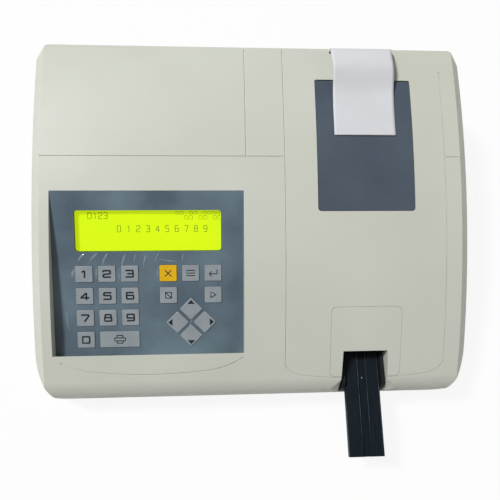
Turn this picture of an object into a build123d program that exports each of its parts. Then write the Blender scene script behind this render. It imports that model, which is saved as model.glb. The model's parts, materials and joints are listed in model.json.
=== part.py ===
from build123d import *
import math
import os

# Bench-top urine strip analyzer: a wedge-shaped two-part housing with a sloping
# keypad and display on the left, a thermal printer under a dark hatch on the right,
# and a motor-driven strip tray that comes out of a notch in the front edge.
# All sizes are in millimetres. X runs to the right, Y to the rear, Z up.
# The pieces are built about the middle of the housing; export_node() then moves
# everything so that the origin is on the table under the middle of the whole outline.

os.makedirs("parts", exist_ok=True)

# ---------------------------------------------------------------- housing shape
HOUSING_WIDTH = 397.0        # over the side walls
HOUSING_DEPTH = 313.5        # rear wall to front face
SIDE_X = HOUSING_WIDTH / 2
FRONT_Y = -HOUSING_DEPTH / 2
REAR_Y = HOUSING_DEPTH / 2
CREST_HEIGHT = 130.0         # highest point of the top, above the table
TOP_RADIUS = 650.0           # the top is one large arc from rear to front
CREST_Y = REAR_Y - 6.95      # where that arc is highest
ARC_CENTRE_Z = CREST_HEIGHT - TOP_RADIUS
FRONT_ROLL = 22.0            # the top rolls over into the front face
REAR_ROLL = 5.0
SIDE_CHAMFER = 8.5           # bevel between the top and the side walls
CORNER_RADIUS = 60.0         # front corners in plan
CORNER_START_Y = FRONT_Y + 38.75
REAR_CUT_X = 12.0            # rear corners are cut off at a slant
REAR_CUT_Y = 13.0
WALL = 3.0
FLOOR_Z = 6.0                # underside of the lower housing
PARTING_Z = 30.0             # where the two housings meet
GROOVE_WIDTH = 1.1           # styling grooves in the top
GROOVE_DEPTH = 0.7
GAP = 0.3                    # running clearance between separate pieces
SEAM = 0.1                   # gap between still pieces that sit on each other
FAR = 400.0                  # reach of cutting tools that run right through

FOOT_RADIUS = 9.0
FOOT_X = SIDE_X - 38.5
FOOT_FRONT_Y = FRONT_Y + 38.75
FOOT_REAR_Y = REAR_Y - 28.75
FOOT_SEAT = 1.5              # depth of the foot's recess in the floor

# ---------------------------------------------------------------- keypad and display
OVERLAY_WIDTH = 171.0
OVERLAY_LENGTH = 151.7       # along the slope
OVERLAY_THICKNESS = 0.8
KEYPAD_SLOPE = 23.0          # steeper than the top, so it sinks in towards the front
KEYPAD_X = -SIDE_X + 102.4   # middle of the overlay
KEYPAD_TOP_Y = FRONT_Y + 174.7
DISPLAY_WIDTH = 130.2
DISPLAY_HEIGHT = 36.8
DISPLAY_V = 35.9             # distance down the slope to the display's middle
DISPLAY_DEPTH = 5.2          # glass below the overlay's face
DISPLAY_CORNER = 2.6
SURROUND_WALL = 1.6
BEZEL_RIM = 6.0
LCD_BOARD_WIDTH = DISPLAY_WIDTH + 35
LCD_BOARD_HEIGHT = DISPLAY_HEIGHT + 19
BOARD_THICKNESS = 1.6

KEY_WIDTH = 15.4
KEY_HEIGHT = 14.8
KEY_PITCH_X = 20.2
KEY_PITCH_V = 20.2
KEY_OUTER_X = 57.6           # outermost key columns, from the overlay's middle
KEY_ROW_V = DISPLAY_V + 38.5  # first row, down the slope
DIAMOND_SIDE = 14.8
DIAMOND_V = KEY_ROW_V + 45.6
DIAMOND_OFFSET = 12.4
KEY_RAISE = 0.9              # key tops above the overlay
KEY_CORNER = 1.1
KEY_EDGE = 0.45
KEY_FLANGE = 0.5             # lip under the overlay all round a key
KEY_FLANGE_THICKNESS = 1.0
KEY_FIT = 0.2                # gap between a key and the overlay
KEY_TRAVEL = 0.4
STEM_RADIUS = 2.6
STEM_LENGTH = 2.0            # stem below the keypad floor's recess
DOME_RADIUS = 3.0
DOME_HEIGHT = 0.8
KEYPAD_BOARD_TOP_V = KEY_ROW_V - 9
KEYPAD_BOARD_BOTTOM_V = OVERLAY_LENGTH - 4
KEYPAD_BOARD_WIDTH = OVERLAY_WIDTH - 21

# ---------------------------------------------------------------- right module
MODULE_LEFT_X = KEYPAD_X + OVERLAY_WIDTH / 2 + 37.9
MODULE_RIGHT_X = SIDE_X - 22.8
MODULE_X = (MODULE_LEFT_X + MODULE_RIGHT_X) / 2
HATCH_WIDTH = 89.0
HATCH_LENGTH = 122.0
HATCH_REAR_Y = REAR_Y - 34.75
HATCH_FRONT_Y = HATCH_REAR_Y - HATCH_LENGTH
HATCH_CORNER = 2.8
HATCH_SWING_RADIUS = 0.75 * WALL  # clears the hatch's square-edged sides as it stands up
HATCH_GAP = 0.4
HATCH_PIN_RADIUS = 0.9
HATCH_PIN_LENGTH = 3.0

BAY_WIDTH = 65.8
BAY_FRONT_Y = FRONT_Y + 12.45
BAY_REAR_Y = FRONT_Y + 73.25
BAY_CORNER = 5.0
BAY_SKIN = 1.8               # the cover is let into the housing this deep
BAY_LEDGE = 3.0              # ledge that carries it all round
NOTCH_REAR_Y = FRONT_Y + 34.75
NOTCH_REAR_HALF = 20.7
NOTCH_FRONT_HALF = 22.2
CHEEK = 2.0                  # walls either side of the notch
SCOOP_REACH = 15.0           # finger scoops beside the notch
SCOOP_DROP = 10.0
SCOOP_LENGTH = 11.0

# ---------------------------------------------------------------- strip tray
TRAY_WIDTH = 32.6
TRAY_TOP_Z = 49.5
TRAY_THICKNESS = 7.0
TRAY_BOTTOM_Z = TRAY_TOP_Z - TRAY_THICKNESS
TRAY_REACH = 59.5            # how far the tray stands out of the front
TRAY_LENGTH = 150.0
TRAY_TRAVEL = 62.0
TRAY_TIP_Y = FRONT_Y - TRAY_REACH
TRAY_END_Y = TRAY_TIP_Y + TRAY_LENGTH
CHANNEL_WIDTH = 6.9          # strip channel in the tray
CHANNEL_DEPTH = 1.2
RIDGE_WIDTH = 0.9
RIDGE_HEIGHT = 0.6
PAD_LENGTH = 9.0             # white reference tile
PAD_THICKNESS = 0.8
PAD_END = 6.0                # from the tray's inner end
GUIDE_FRONT_Y = FRONT_Y + 1.25
GUIDE_REAR_Y = TRAY_END_Y + TRAY_TRAVEL + 18.25
GUIDE_WALL = 3.3
GUIDE_FLOOR_Z = 36.0
GUIDE_FLOOR = 2.0
GUIDE_LEDGE = 4.5
RAIL_WIDTH = 2.8             # rails that rise beside the tray in the notch
RAIL_RISE = 5.0
LEG_WIDTH = 8.0
RACK_WIDTH = 6.0
RACK_DEPTH = 2.5
RACK_LENGTH = TRAY_TRAVEL + 20
DRIVE_MODULE = 1.0
DRIVE_TEETH = 18
DRIVE_Y = TRAY_END_Y - 9.75
DRIVE_WIDTH = 6.0
DRIVE_SHAFT = 2.5
MOTOR_SIZE = 35.0
MOTOR_LENGTH = 22.0
BACKLASH = 0.15
PRESSURE_DEG = 25.0

HEAD_REAR_Y = GUIDE_REAR_Y - 36
HEAD_LENGTH = 40.0
HEAD_HEIGHT = 30.0
HEAD_LIFT = 2.5              # clear height over the tray
LENS_RADIUS = 5.0
LENS_LENGTH = 12.0

# ---------------------------------------------------------------- printer
PAPER_WIDTH = 57.0
PAPER_THICKNESS = 0.2
ROLL_RADIUS = 23.5
ROLL_Y = HATCH_REAR_Y - 60
ROLL_Z = CREST_HEIGHT - 36
CORE_RADIUS = 6.5
SPINDLE_END_RADIUS = 4.0
SPINDLE_HALF = PAPER_WIDTH / 2 + 5.5
PLATEN_RADIUS = 6.0
PLATEN_Y = REAR_Y - 14.75
PLATEN_Z = CREST_HEIGHT - 20
PLATEN_SHAFT = 2.0
FEED_MODULE = 0.8
PLATEN_TEETH = 20
FEED_TEETH = 12
FEED_WIDTH = 5.0
FEED_MOTOR_RADIUS = 10.0
FEED_MOTOR_LENGTH = 18.0
FEED_SHAFT = 1.2
SIDE_PLATE = 1.5
WING_REACH = 12.0            # the frame's wing that carries the feed motor
FRAME_BOTTOM_Z = CREST_HEIGHT - 46
FRAME_TOP_Z = CREST_HEIGHT - 10
FRAME_REAR_Y = REAR_Y - WALL - 0.75
WELL_INNER_HALF = 42.5
WELL_WALL = 2.0
WELL_FLOOR_Z = ROLL_Z - 30
WELL_FLANGE = 4.5
CRADLE_HALF = PAPER_WIDTH / 2 + 2
CRADLE_WALL = 2.5
SLOT_HALF = PAPER_WIDTH / 2 + 0.8   # paper slot in the top, half its width
SLOT_REAR_Y = REAR_Y - 4.45
SLOT_FRONT_Y = SLOT_REAR_Y - 3
TAIL_Y = SLOT_REAR_Y - 1.4   # where the paper comes out of the slot
TAIL_LIFT = 0.6              # the free paper starts this far above the top
TAIL_END_Y = HATCH_REAR_Y - 54

# ---------------------------------------------------------------- rear connectors
REAR_ROW_Z = 52.0
INLET_X = -SIDE_X + 48.5
SWITCH_X = INLET_X + 38
PORT_X = INLET_X + 84
FLANGE_THICKNESS = 2.5
REARMOST_Y = REAR_Y + FLANGE_THICKNESS
INLET_WIDTH = 27.0
INLET_HEIGHT = 19.0
INLET_FLANGE = 3.0
INLET_DEPTH = 20.0
INLET_WALL = 1.5
SWITCH_WIDTH = 13.0
SWITCH_HEIGHT = 19.0
SWITCH_FLANGE = 1.8
SWITCH_DEPTH = 16.0
SWITCH_TILT = 7.0
PORT_WIDTH = 31.0
PORT_HEIGHT = 12.5
VENT_COUNT = 12
VENT_PITCH = 7.0
VENT_WIDTH = 3.0
VENT_HEIGHT = 26.0
VENT_X = MODULE_X - 39.5

# ---------------------------------------------------------------- boards
BOARD_Z = 20.0
POST_RADIUS = 3.5
POST_IN = 6.0                # post centres from the boards' edges
BOARD_X = -SIDE_X + 22.5     # left edge of both boards
MAIN_LOW = (BOARD_X, FRONT_Y + 64.75)
MAIN_HIGH = (BOARD_X + 150, FRONT_Y + 176.75)
POWER_LOW = (BOARD_X, REAR_Y - 106.75)
POWER_HIGH = (BOARD_X + 136, REAR_Y - 28.75)
DISPLAY_SOCKET = (60.0, 96.0)  # cable sockets, from the main board's corner
KEYPAD_SOCKET = (100.0, 84.0)

# ---------------------------------------------------------------- screws
BOSS_RADIUS = 4.5
BOSS_SIDE_X = SIDE_X - 14.5
BOSS_MIDDLE_X = MODULE_LEFT_X - 17.5
SCREW_RADIUS = 1.5
SCREW_HEAD_RADIUS = 3.0
SCREW_HEAD_HEIGHT = 2.4
SCREW_LENGTH = 30.0
SCREW_RECESS = 4.0           # how far the screw heads sit up inside the floor
SCREW_SLOT = 3.6

ORIGIN_SHIFT = -(TRAY_TIP_Y + REARMOST_Y) / 2


def top_z(y, inset=0.0):
    """Height of the top surface, or of the surface parallel to it inside."""
    return ARC_CENTRE_Z + math.sqrt((TOP_RADIUS - inset) ** 2 - (y - CREST_Y) ** 2)


def top_slope(y):
    """Fall of the top towards the front at y, in degrees."""
    return math.degrees(math.asin((CREST_Y - y) / TOP_RADIUS))


def box_between(low, high):
    """A block given by its two opposite corners."""
    size = [h - l for l, h in zip(low, high)]
    middle = [(h + l) / 2 for l, h in zip(low, high)]
    return Pos(*middle) * Box(*size)


def rod_x(radius, x_from, x_to, y, z):
    """A round bar along X."""
    length = x_to - x_from
    return Pos((x_from + x_to) / 2, y, z) * Rot(0, 90, 0) * Cylinder(radius, length)


def plan_prism(sketch, low=0.0, high=CREST_HEIGHT + 40):
    """A plan-view outline as an upright prism."""
    return extrude(Pos(0, 0, low) * sketch, high - low)


def export_node(name, shape):
    """Write one sub-part, in the frame of the finished object."""
    export_step(Pos(0, ORIGIN_SHIFT, 0) * shape, f"parts/{name}.step")


# ------------------------------------------------------------------------------
# Housing form: plan outline, top arc and bevels, at any inset from the outside
# ------------------------------------------------------------------------------
def plan_outline(inset):
    """Housing outline in plan: cut rear corners and large front corner arcs."""
    half = HOUSING_WIDTH / 2 - inset
    rear = REAR_Y - inset
    beyond = FRONT_Y - REAR_ROLL          # the front face itself comes from the side view
    radius = CORNER_RADIUS - inset
    centre_x = half - radius
    reach = CORNER_START_Y - beyond
    front_half = centre_x + math.sqrt(radius**2 - reach**2)
    turn = math.asin(reach / radius) / 2
    middle = (centre_x + radius * math.cos(turn), CORNER_START_Y - radius * math.sin(turn))
    right_arc = ThreePointArc((front_half, beyond), middle, (half, CORNER_START_Y))
    rear_path = Polyline(
        (half, CORNER_START_Y), (half, rear - REAR_CUT_Y), (half - REAR_CUT_X, rear),
        (REAR_CUT_X - half, rear), (-half, rear - REAR_CUT_Y), (-half, CORNER_START_Y),
    )
    left_arc = ThreePointArc(
        (-half, CORNER_START_Y), (-middle[0], middle[1]), (-front_half, beyond)
    )
    front_line = Line((-front_half, beyond), (front_half, beyond))
    return make_face([right_arc, rear_path, left_arc, front_line])


def side_prism(inset, base_z):
    """Side view of the housing, run right across: top arc, front and rear rolls."""
    front = FRONT_Y + inset
    rear = REAR_Y - inset
    arc = ThreePointArc(
        (0, front, top_z(front, inset)), (0, 0, top_z(0, inset)), (0, rear, top_z(rear, inset))
    )
    rest = Polyline(
        (0, rear, top_z(rear, inset)), (0, rear, base_z), (0, front, base_z),
        (0, front, top_z(front, inset)),
    )
    face = make_face([arc, rest])
    prism = extrude(face, HOUSING_WIDTH, dir=(1, 0, 0), both=True).solid()
    long_edges = prism.edges().filter_by(Axis.X)
    front_edge = [e for e in long_edges if e.center().Y < front + 1 and e.center().Z > base_z + 1]
    prism = fillet(front_edge, FRONT_ROLL - inset)
    long_edges = prism.edges().filter_by(Axis.X)
    rear_edge = [e for e in long_edges if e.center().Y > rear - 1 and e.center().Z > base_z + 1]
    return fillet(rear_edge, max(REAR_ROLL - inset, 0.5))


def top_barrel(inset):
    """The top's cylinder run wide, its ends coned off to make the side bevels."""
    spare = 5.0
    barrel = Cylinder(TOP_RADIUS - inset + spare, HOUSING_WIDTH - 2 * inset + 2 * spare)
    barrel = chamfer(barrel.edges().filter_by(GeomType.CIRCLE), SIDE_CHAMFER + 2 * spare)
    return Pos(0, CREST_Y, ARC_CENTRE_Z) * Rot(0, 90, 0) * barrel


def housing_form(inset, base_z):
    """The housing's outer shape, or the same shape set in by a wall thickness."""
    form = plan_prism(plan_outline(inset), base_z) & side_prism(inset, base_z)
    return (form & top_barrel(inset)).solid()


OUTER = housing_form(0.0, FLOOR_Z)
INNER = housing_form(WALL, FLOOR_Z + WALL)


def layer_cutter(sketch, depth):
    """Cuts a plan-view shape out of the top to an even depth below the surface."""
    return plan_prism(sketch, PARTING_Z) - side_prism(depth, 0.0)


def rounded_plan(x_middle, y_low, y_high, width, corner):
    """A rounded rectangle in plan."""
    shape = RectangleRounded(width, y_high - y_low, corner)
    return Pos(x_middle, (y_low + y_high) / 2) * shape


# ------------------------------------------------------------------------------
# Keypad plane: a flat facet that starts flush at its rear edge and sinks in
# ------------------------------------------------------------------------------
SLOPE = math.radians(KEYPAD_SLOPE)
KEYPAD = Plane(
    origin=(KEYPAD_X, KEYPAD_TOP_Y, top_z(KEYPAD_TOP_Y)),
    x_dir=(1, 0, 0),
    z_dir=(0, -math.sin(SLOPE), math.cos(SLOPE)),
)
FLOOR_DEPTH = OVERLAY_THICKNESS          # top of the keypad floor below the facet
FLOOR_BACK = FLOOR_DEPTH + WALL          # underside of the keypad floor
KEYPAD_SINK = 18.0                       # reaches past the top where the facet lies deepest
FLANGE_TOP = OVERLAY_THICKNESS + 0.1
STEM_TIP = FLOOR_BACK + STEM_LENGTH
DOME_TOP = STEM_TIP + KEY_TRAVEL + 0.15
BOARD_FACE = DOME_TOP + DOME_HEIGHT      # upper face of the keypad board


def on_keypad(x, v, depth_low, depth_high, sketch):
    """Extrude a sketch square to the keypad plane, between two depths below it."""
    base = Pos(x, -v, -depth_low) * sketch
    return KEYPAD * extrude(base, depth_low - depth_high)


def key_table():
    """Every key: name, column, distance down the slope, width, height and turn."""
    left = -KEY_OUTER_X
    right = KEY_OUTER_X
    columns = [left, left + KEY_PITCH_X, left + 2 * KEY_PITCH_X]
    far_columns = [right - 2 * KEY_PITCH_X, right - KEY_PITCH_X, right]
    rows = [KEY_ROW_V + KEY_PITCH_V * n for n in range(4)]
    keys = []
    for number in range(1, 10):
        row, column = divmod(number - 1, 3)
        keys.append((f"key_{number}", columns[column], rows[row], KEY_WIDTH, KEY_HEIGHT, 0))
    keys.append(("key_0", columns[0], rows[3], KEY_WIDTH, KEY_HEIGHT, 0))
    wide_x = (columns[1] + columns[2]) / 2
    keys.append(("key_print", wide_x, rows[3], KEY_WIDTH + KEY_PITCH_X, KEY_HEIGHT, 0))
    for name, x in zip(("clear", "menu", "enter"), far_columns):
        keys.append((f"key_{name}", x, rows[0], KEY_WIDTH, KEY_HEIGHT, 0))
    keys.append(("key_cancel", far_columns[0], rows[1], KEY_WIDTH, KEY_HEIGHT, 0))
    keys.append(("key_start", far_columns[2], rows[1], KEY_WIDTH, KEY_HEIGHT, 0))
    middle = far_columns[1]
    for name, dx, dv in (("up", 0, -1), ("down", 0, 1), ("left", -1, 0), ("right", 1, 0)):
        x = middle + dx * DIAMOND_OFFSET
        v = DIAMOND_V + dv * DIAMOND_OFFSET
        keys.append((f"key_{name}", x, v, DIAMOND_SIDE, DIAMOND_SIDE, 45))
    return keys


KEYS = key_table()


def key_outline(width, height, turn, grow, corner):
    """A key's outline, grown all round by a clearance or lip."""
    return Rot(0, 0, turn) * RectangleRounded(width + 2 * grow, height + 2 * grow, corner)


def key_cap(x, v, width, height, turn):
    """One key: raised cap with soft edges, a lip under the overlay and a stem."""
    outline = key_outline(width, height, turn, 0, KEY_CORNER)
    cap = extrude(outline, KEY_RAISE + FLANGE_TOP)
    cap = fillet(cap.faces().sort_by(Axis.Z)[-1].edges(), KEY_EDGE)
    lip = extrude(key_outline(width, height, turn, KEY_FLANGE, KEY_CORNER), -KEY_FLANGE_THICKNESS)
    stem_height = STEM_TIP - FLANGE_TOP
    stem = Pos(0, 0, -stem_height / 2) * Cylinder(STEM_RADIUS, stem_height)
    return KEYPAD * (Pos(x, -v, -FLANGE_TOP) * (cap + lip + stem).solid())


def display_window(grow, corner):
    """The display opening, grown all round."""
    return RectangleRounded(DISPLAY_WIDTH + 2 * grow, DISPLAY_HEIGHT + 2 * grow, corner)


# ------------------------------------------------------------------------------
# Gears
# ------------------------------------------------------------------------------
def gear_outline(module, teeth, turn_deg):
    """Involute spur gear with a little backlash, one tooth centred on turn_deg."""
    pressure = math.radians(PRESSURE_DEG)
    pitch_r = module * teeth / 2
    base_r = pitch_r * math.cos(pressure)
    tip_r = pitch_r + 0.9 * module
    root_r = pitch_r - 1.2 * module
    half_at_pitch = (math.pi * module / 2 - BACKLASH) / 2 / pitch_r
    involute = math.tan(pressure) - pressure

    def half_angle(radius):
        if radius <= base_r:
            return half_at_pitch + involute
        angle = math.acos(base_r / radius)
        return half_at_pitch + involute - (math.tan(angle) - angle)

    steps = 4
    start_r = max(base_r, root_r)
    flank = [start_r + (tip_r - start_r) * n / steps for n in range(steps + 1)]
    points = []
    for tooth in range(teeth):
        centre = math.radians(turn_deg) + 2 * math.pi * tooth / teeth
        rising = [(r, centre - half_angle(r)) for r in flank]
        falling = [(r, centre + half_angle(r)) for r in reversed(flank)]
        root = [(root_r, centre - half_angle(start_r))]
        root_end = [(root_r, centre + half_angle(start_r))]
        for radius, angle in root + rising + falling + root_end:
            points.append((radius * math.cos(angle), radius * math.sin(angle)))
    return make_face(Polyline(*points, close=True))


def gear_x(module, teeth, turn_deg, width, x_middle, y, z):
    """A gear on a shaft along X; turn_deg is measured from +Y towards +Z."""
    flat = extrude(gear_outline(module, teeth, turn_deg), width / 2, both=True)
    return Pos(x_middle, y, z) * (Plane.YZ * flat)


def rack_bar(x_middle, y_low, y_high, top, space_y):
    """A toothed bar facing down, with a tooth space centred on space_y."""
    pressure = math.radians(PRESSURE_DEG)
    pitch = math.pi * DRIVE_MODULE
    pitch_line = top - RACK_DEPTH + 0.9 * DRIVE_MODULE
    root = pitch_line + 1.2 * DRIVE_MODULE
    tip = pitch_line - 0.9 * DRIVE_MODULE
    half_space = (pitch / 2 + BACKLASH) / 2
    narrow = half_space - (root - pitch_line) * math.tan(pressure)
    wide = half_space + (pitch_line - tip) * math.tan(pressure)
    bar = box_between((x_middle - RACK_WIDTH / 2, y_low, tip), (x_middle + RACK_WIDTH / 2, y_high, top))
    space = make_face(Polyline((-wide, tip), (-narrow, root), (narrow, root), (wide, tip), close=True))
    cutter = Plane.YZ * extrude(space, RACK_WIDTH, both=True)
    first = math.ceil((y_low - space_y + wide) / pitch)
    last = math.floor((y_high - space_y - wide) / pitch)
    spaces = [Pos(x_middle, space_y + n * pitch, 0) * cutter for n in range(first, last + 1)]
    return (bar - spaces).solid()


def bent_sheet(path, thickness, x_middle, width):
    """A thin sheet that follows a line in the side view."""
    band = Plane.YZ * trace(path, line_width=thickness)
    return Pos(x_middle, 0, 0) * extrude(band, width / 2, dir=(1, 0, 0), both=True)


# ------------------------------------------------------------------------------
# Styling grooves on the top
# ------------------------------------------------------------------------------
def groove_lines():
    """Plan-view centre lines of the grooves."""
    cross_y = REAR_Y - 108.35
    rear_left_x = MODULE_LEFT_X - 35.4
    left_x = MODULE_LEFT_X
    right_x = MODULE_RIGHT_X
    bevel_x = SIDE_X - SIDE_CHAMFER
    smile_y = FRONT_Y + 23.75
    pad_y = FRONT_Y + 17.75
    left_run = Line((-bevel_x, cross_y), (left_x, cross_y))
    rear_run = Line((rear_left_x, cross_y), (rear_left_x, REAR_Y - REAR_ROLL))
    right_run = Line((right_x, cross_y), (bevel_x, cross_y))
    left_side = Line((left_x, REAR_Y - REAR_ROLL), (left_x, smile_y))
    right_side = Line((right_x, CREST_Y - 18), (right_x, smile_y))
    module_smile = Spline(
        (left_x, smile_y), (left_x + 5, smile_y - 5.5), (left_x + 24, smile_y - 10.5),
        (MODULE_X, smile_y - 13.5), (right_x - 24, smile_y - 10.5),
        (right_x - 5, smile_y - 5.5), (right_x, smile_y),
    )
    keypad_smile = Spline(
        (KEYPAD_X - 78.5, pad_y + 11.5), (KEYPAD_X - 62, pad_y + 5.2), (KEYPAD_X - 40, pad_y + 2),
        (KEYPAD_X, pad_y), (KEYPAD_X + 40, pad_y + 1.6), (KEYPAD_X + 70, pad_y + 6.5),
        (KEYPAD_X + 84.5, pad_y + 13.7),
    )
    return [left_run, rear_run, right_run, left_side, right_side, module_smile, keypad_smile]


def cut_grooves(shell):
    """Cut every groove to one depth."""
    for line in groove_lines():
        shell = shell - layer_cutter(trace(line, line_width=GROOVE_WIDTH), GROOVE_DEPTH)
    return shell


# ------------------------------------------------------------------------------
# Notch for the tray
# ------------------------------------------------------------------------------
def notch_plan(grow):
    """The notch in plan, a little wider at the front, grown at its sides."""
    rear_half = NOTCH_REAR_HALF + grow
    front_half = NOTCH_FRONT_HALF + grow
    beyond = FRONT_Y - 10
    points = [
        (-rear_half, NOTCH_REAR_Y), (-front_half, FRONT_Y), (-front_half, beyond),
        (front_half, beyond), (front_half, FRONT_Y), (rear_half, NOTCH_REAR_Y),
    ]
    return Pos(MODULE_X, 0) * make_face(Polyline(*points, close=True))


def notch_cheeks():
    """Walls that close the housing off either side of the notch."""
    strips = notch_plan(CHEEK) - notch_plan(0)
    return plan_prism(strips, PARTING_Z) & housing_form_inner_skin()


def housing_form_inner_skin():
    """The space under the top, up to the bay cover's seat."""
    return side_prism(BAY_SKIN + SEAM, PARTING_Z) & plan_prism(plan_outline(WALL / 2), PARTING_Z)


def scoop(side):
    """A slanting finger scoop beside the notch, cut out of the front roll."""
    inner_x = MODULE_X + side * (NOTCH_FRONT_HALF - 2)
    outer_x = MODULE_X + side * (NOTCH_FRONT_HALF + SCOOP_REACH)
    front = FRONT_Y - 4
    rear = FRONT_Y + SCOOP_LENGTH
    high = CREST_HEIGHT
    front_z = top_z(FRONT_Y) - FRONT_ROLL / 2
    rear_z = top_z(rear)
    lower = [
        Vector(inner_x, rear, rear_z), Vector(outer_x, front, front_z),
        Vector(inner_x, front, front_z - SCOOP_DROP),
    ]
    upper = [Vector(p.X, p.Y, high) for p in lower]
    faces = [Face(Wire.make_polygon(lower)), Face(Wire.make_polygon(upper))]
    for n in range(3):
        m = (n + 1) % 3
        faces.append(Face(Wire.make_polygon([lower[n], lower[m], upper[m], upper[n]])))
    return Solid(Shell(faces))


# ------------------------------------------------------------------------------
# The two housings and the covers
# ------------------------------------------------------------------------------
def boss_places():
    """Centres of the screw posts: two down each side and two in the middle."""
    places = [(sx * BOSS_SIDE_X, y) for sx in (-1, 1) for y in (FRONT_Y + 78.75, REAR_Y - 44.75)]
    return places + [(BOSS_MIDDLE_X, y) for y in (FRONT_Y + 28.75, REAR_Y - 28.75)]


def upper_bosses():
    """Screw posts under the top."""
    posts = [
        Pos(x, y, (PARTING_Z + CREST_HEIGHT) / 2) * Cylinder(BOSS_RADIUS, CREST_HEIGHT - PARTING_Z)
        for x, y in boss_places()
    ]
    return [post & side_prism(WALL / 2, PARTING_Z) for post in posts]


def rear_cutouts():
    """Holes in the rear wall for the connectors, and the cooling slots."""
    inlet = Pos(INLET_X, REAR_Y, REAR_ROW_Z) * Box(INLET_WIDTH, 4 * WALL, INLET_HEIGHT)
    switch = Pos(SWITCH_X, REAR_Y, REAR_ROW_Z) * Box(SWITCH_WIDTH, 4 * WALL, SWITCH_HEIGHT)
    port = Pos(PORT_X, REAR_Y, REAR_ROW_Z) * Box(PORT_WIDTH - 12, 4 * WALL, PORT_HEIGHT - 3)
    vents = [
        Pos(VENT_X + VENT_PITCH * n, REAR_Y, REAR_ROW_Z) * Box(VENT_WIDTH, 4 * WALL, VENT_HEIGHT)
        for n in range(VENT_COUNT)
    ]
    return [inlet, switch, port] + vents


def keypad_recess():
    """Space above the overlay: square to it, but with an upright front wall."""
    space = on_keypad(
        0, OVERLAY_LENGTH / 2, -KEYPAD_SINK, FLOOR_DEPTH, Rectangle(OVERLAY_WIDTH, OVERLAY_LENGTH)
    )
    front = KEYPAD_TOP_Y - OVERLAY_LENGTH * math.cos(SLOPE)
    return space & box_between((-FAR, front, PARTING_Z), (FAR, FAR, FAR))


def upper_housing():
    """Top shell with keypad recess, hatch opening, bay seat, notch and grooves."""
    above = box_between((-FAR, -FAR, PARTING_Z), (FAR, FAR, FAR))
    shell = (OUTER & above) - INNER
    keypad_block = on_keypad(
        0, OVERLAY_LENGTH / 2, -KEYPAD_SINK, FLOOR_BACK,
        Rectangle(OVERLAY_WIDTH + 2 * WALL, OVERLAY_LENGTH + 2 * WALL),
    )
    within = side_prism(WALL / 2, PARTING_Z) & plan_prism(plan_outline(WALL / 2), PARTING_Z)
    shell = shell + (keypad_block & within) + notch_cheeks()
    for post in upper_bosses():
        shell = shell + post
    shell = shell - keypad_recess()
    shell = shell - on_keypad(
        0, DISPLAY_V, -1, FLOOR_BACK + WALL * 3, display_window(SURROUND_WALL, DISPLAY_CORNER)
    )
    for name, x, v, width, height, turn in KEYS:
        hole = key_outline(width, height, turn, KEY_FLANGE + GAP, KEY_CORNER)
        shell = shell - on_keypad(x, v, -1, FLOOR_BACK + WALL * 3, hole)
    opening = rounded_plan(
        MODULE_X, HATCH_FRONT_Y - HATCH_GAP, HATCH_REAR_Y + HATCH_GAP,
        HATCH_WIDTH + 2 * HATCH_GAP, HATCH_CORNER + HATCH_GAP,
    )
    shell = shell - plan_prism(opening, PARTING_Z)
    pin_y, pin_z = hinge_axis()
    swing = HATCH_WIDTH / 2 + GAP
    shell = shell - rod_x(HATCH_SWING_RADIUS, MODULE_X - swing, MODULE_X + swing, pin_y, pin_z)
    pin_reach = HATCH_WIDTH / 2 + HATCH_PIN_LENGTH + GAP
    shell = shell - rod_x(HATCH_PIN_RADIUS + 0.1, MODULE_X - pin_reach, MODULE_X + pin_reach, pin_y, pin_z)
    bay = rounded_plan(MODULE_X, BAY_FRONT_Y, BAY_REAR_Y, BAY_WIDTH, BAY_CORNER)
    shell = shell - layer_cutter(bay, BAY_SKIN)
    seat = rounded_plan(
        MODULE_X, NOTCH_REAR_Y, BAY_REAR_Y - BAY_LEDGE, BAY_WIDTH - 2 * BAY_LEDGE, BAY_CORNER / 2
    )
    shell = shell - plan_prism(seat, PARTING_Z)
    notch_floor = GUIDE_FLOOR_Z - GAP
    shell = shell - plan_prism(notch_plan(0), notch_floor)
    for side in (-1, 1):
        shell = shell - scoop(side)
    slot = box_between(
        (MODULE_X - SLOT_HALF, SLOT_FRONT_Y, FRAME_TOP_Z), (MODULE_X + SLOT_HALF, SLOT_REAR_Y, FAR)
    )
    shell = shell - slot
    for x, y in boss_places():
        depth = SCREW_LENGTH
        shell = shell - Pos(x, y, PARTING_Z) * Cylinder(SCREW_RADIUS + SEAM, depth)
    shell = shell - rear_cutouts()
    return cut_grooves(shell)


def lower_housing():
    """Floor pan with screw posts, foot recesses and board posts."""
    below = box_between((-FAR, -FAR, 0), (FAR, FAR, PARTING_Z))
    pan = (OUTER & below) - plan_prism(plan_outline(WALL), FLOOR_Z + WALL, PARTING_Z + 1)
    pan = pan + (plan_prism(plan_outline(WALL / 2), FLOOR_Z, PARTING_Z) & box_between(
        (-FAR, FRONT_Y, FLOOR_Z), (FAR, FRONT_Y + WALL, PARTING_Z)))
    for x, y in boss_places():
        pan = pan + Pos(x, y, (FLOOR_Z + PARTING_Z) / 2) * Cylinder(BOSS_RADIUS, PARTING_Z - FLOOR_Z)
    for x, y in boss_places():
        pan = pan - Pos(x, y, FLOOR_Z) * Cylinder(SCREW_HEAD_RADIUS + SEAM, 2 * SCREW_RECESS)
        pan = pan - Pos(x, y, PARTING_Z / 2) * Cylinder(SCREW_RADIUS + SEAM, 2 * PARTING_Z)
    for x, y in foot_places():
        pan = pan - Pos(x, y, FLOOR_Z) * Cylinder(FOOT_RADIUS + SEAM, 2 * FOOT_SEAT)
    for x, y in MAIN_POSTS + POWER_POSTS:
        base = FLOOR_Z + WALL - 0.5
        pan = pan + Pos(x, y, (base + BOARD_Z) / 2) * Cylinder(POST_RADIUS, BOARD_Z - base)
    return pan


def foot_places():
    """Centres of the four feet."""
    return [(sx * FOOT_X, y) for sx in (-1, 1) for y in (FOOT_FRONT_Y, FOOT_REAR_Y)]


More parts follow.
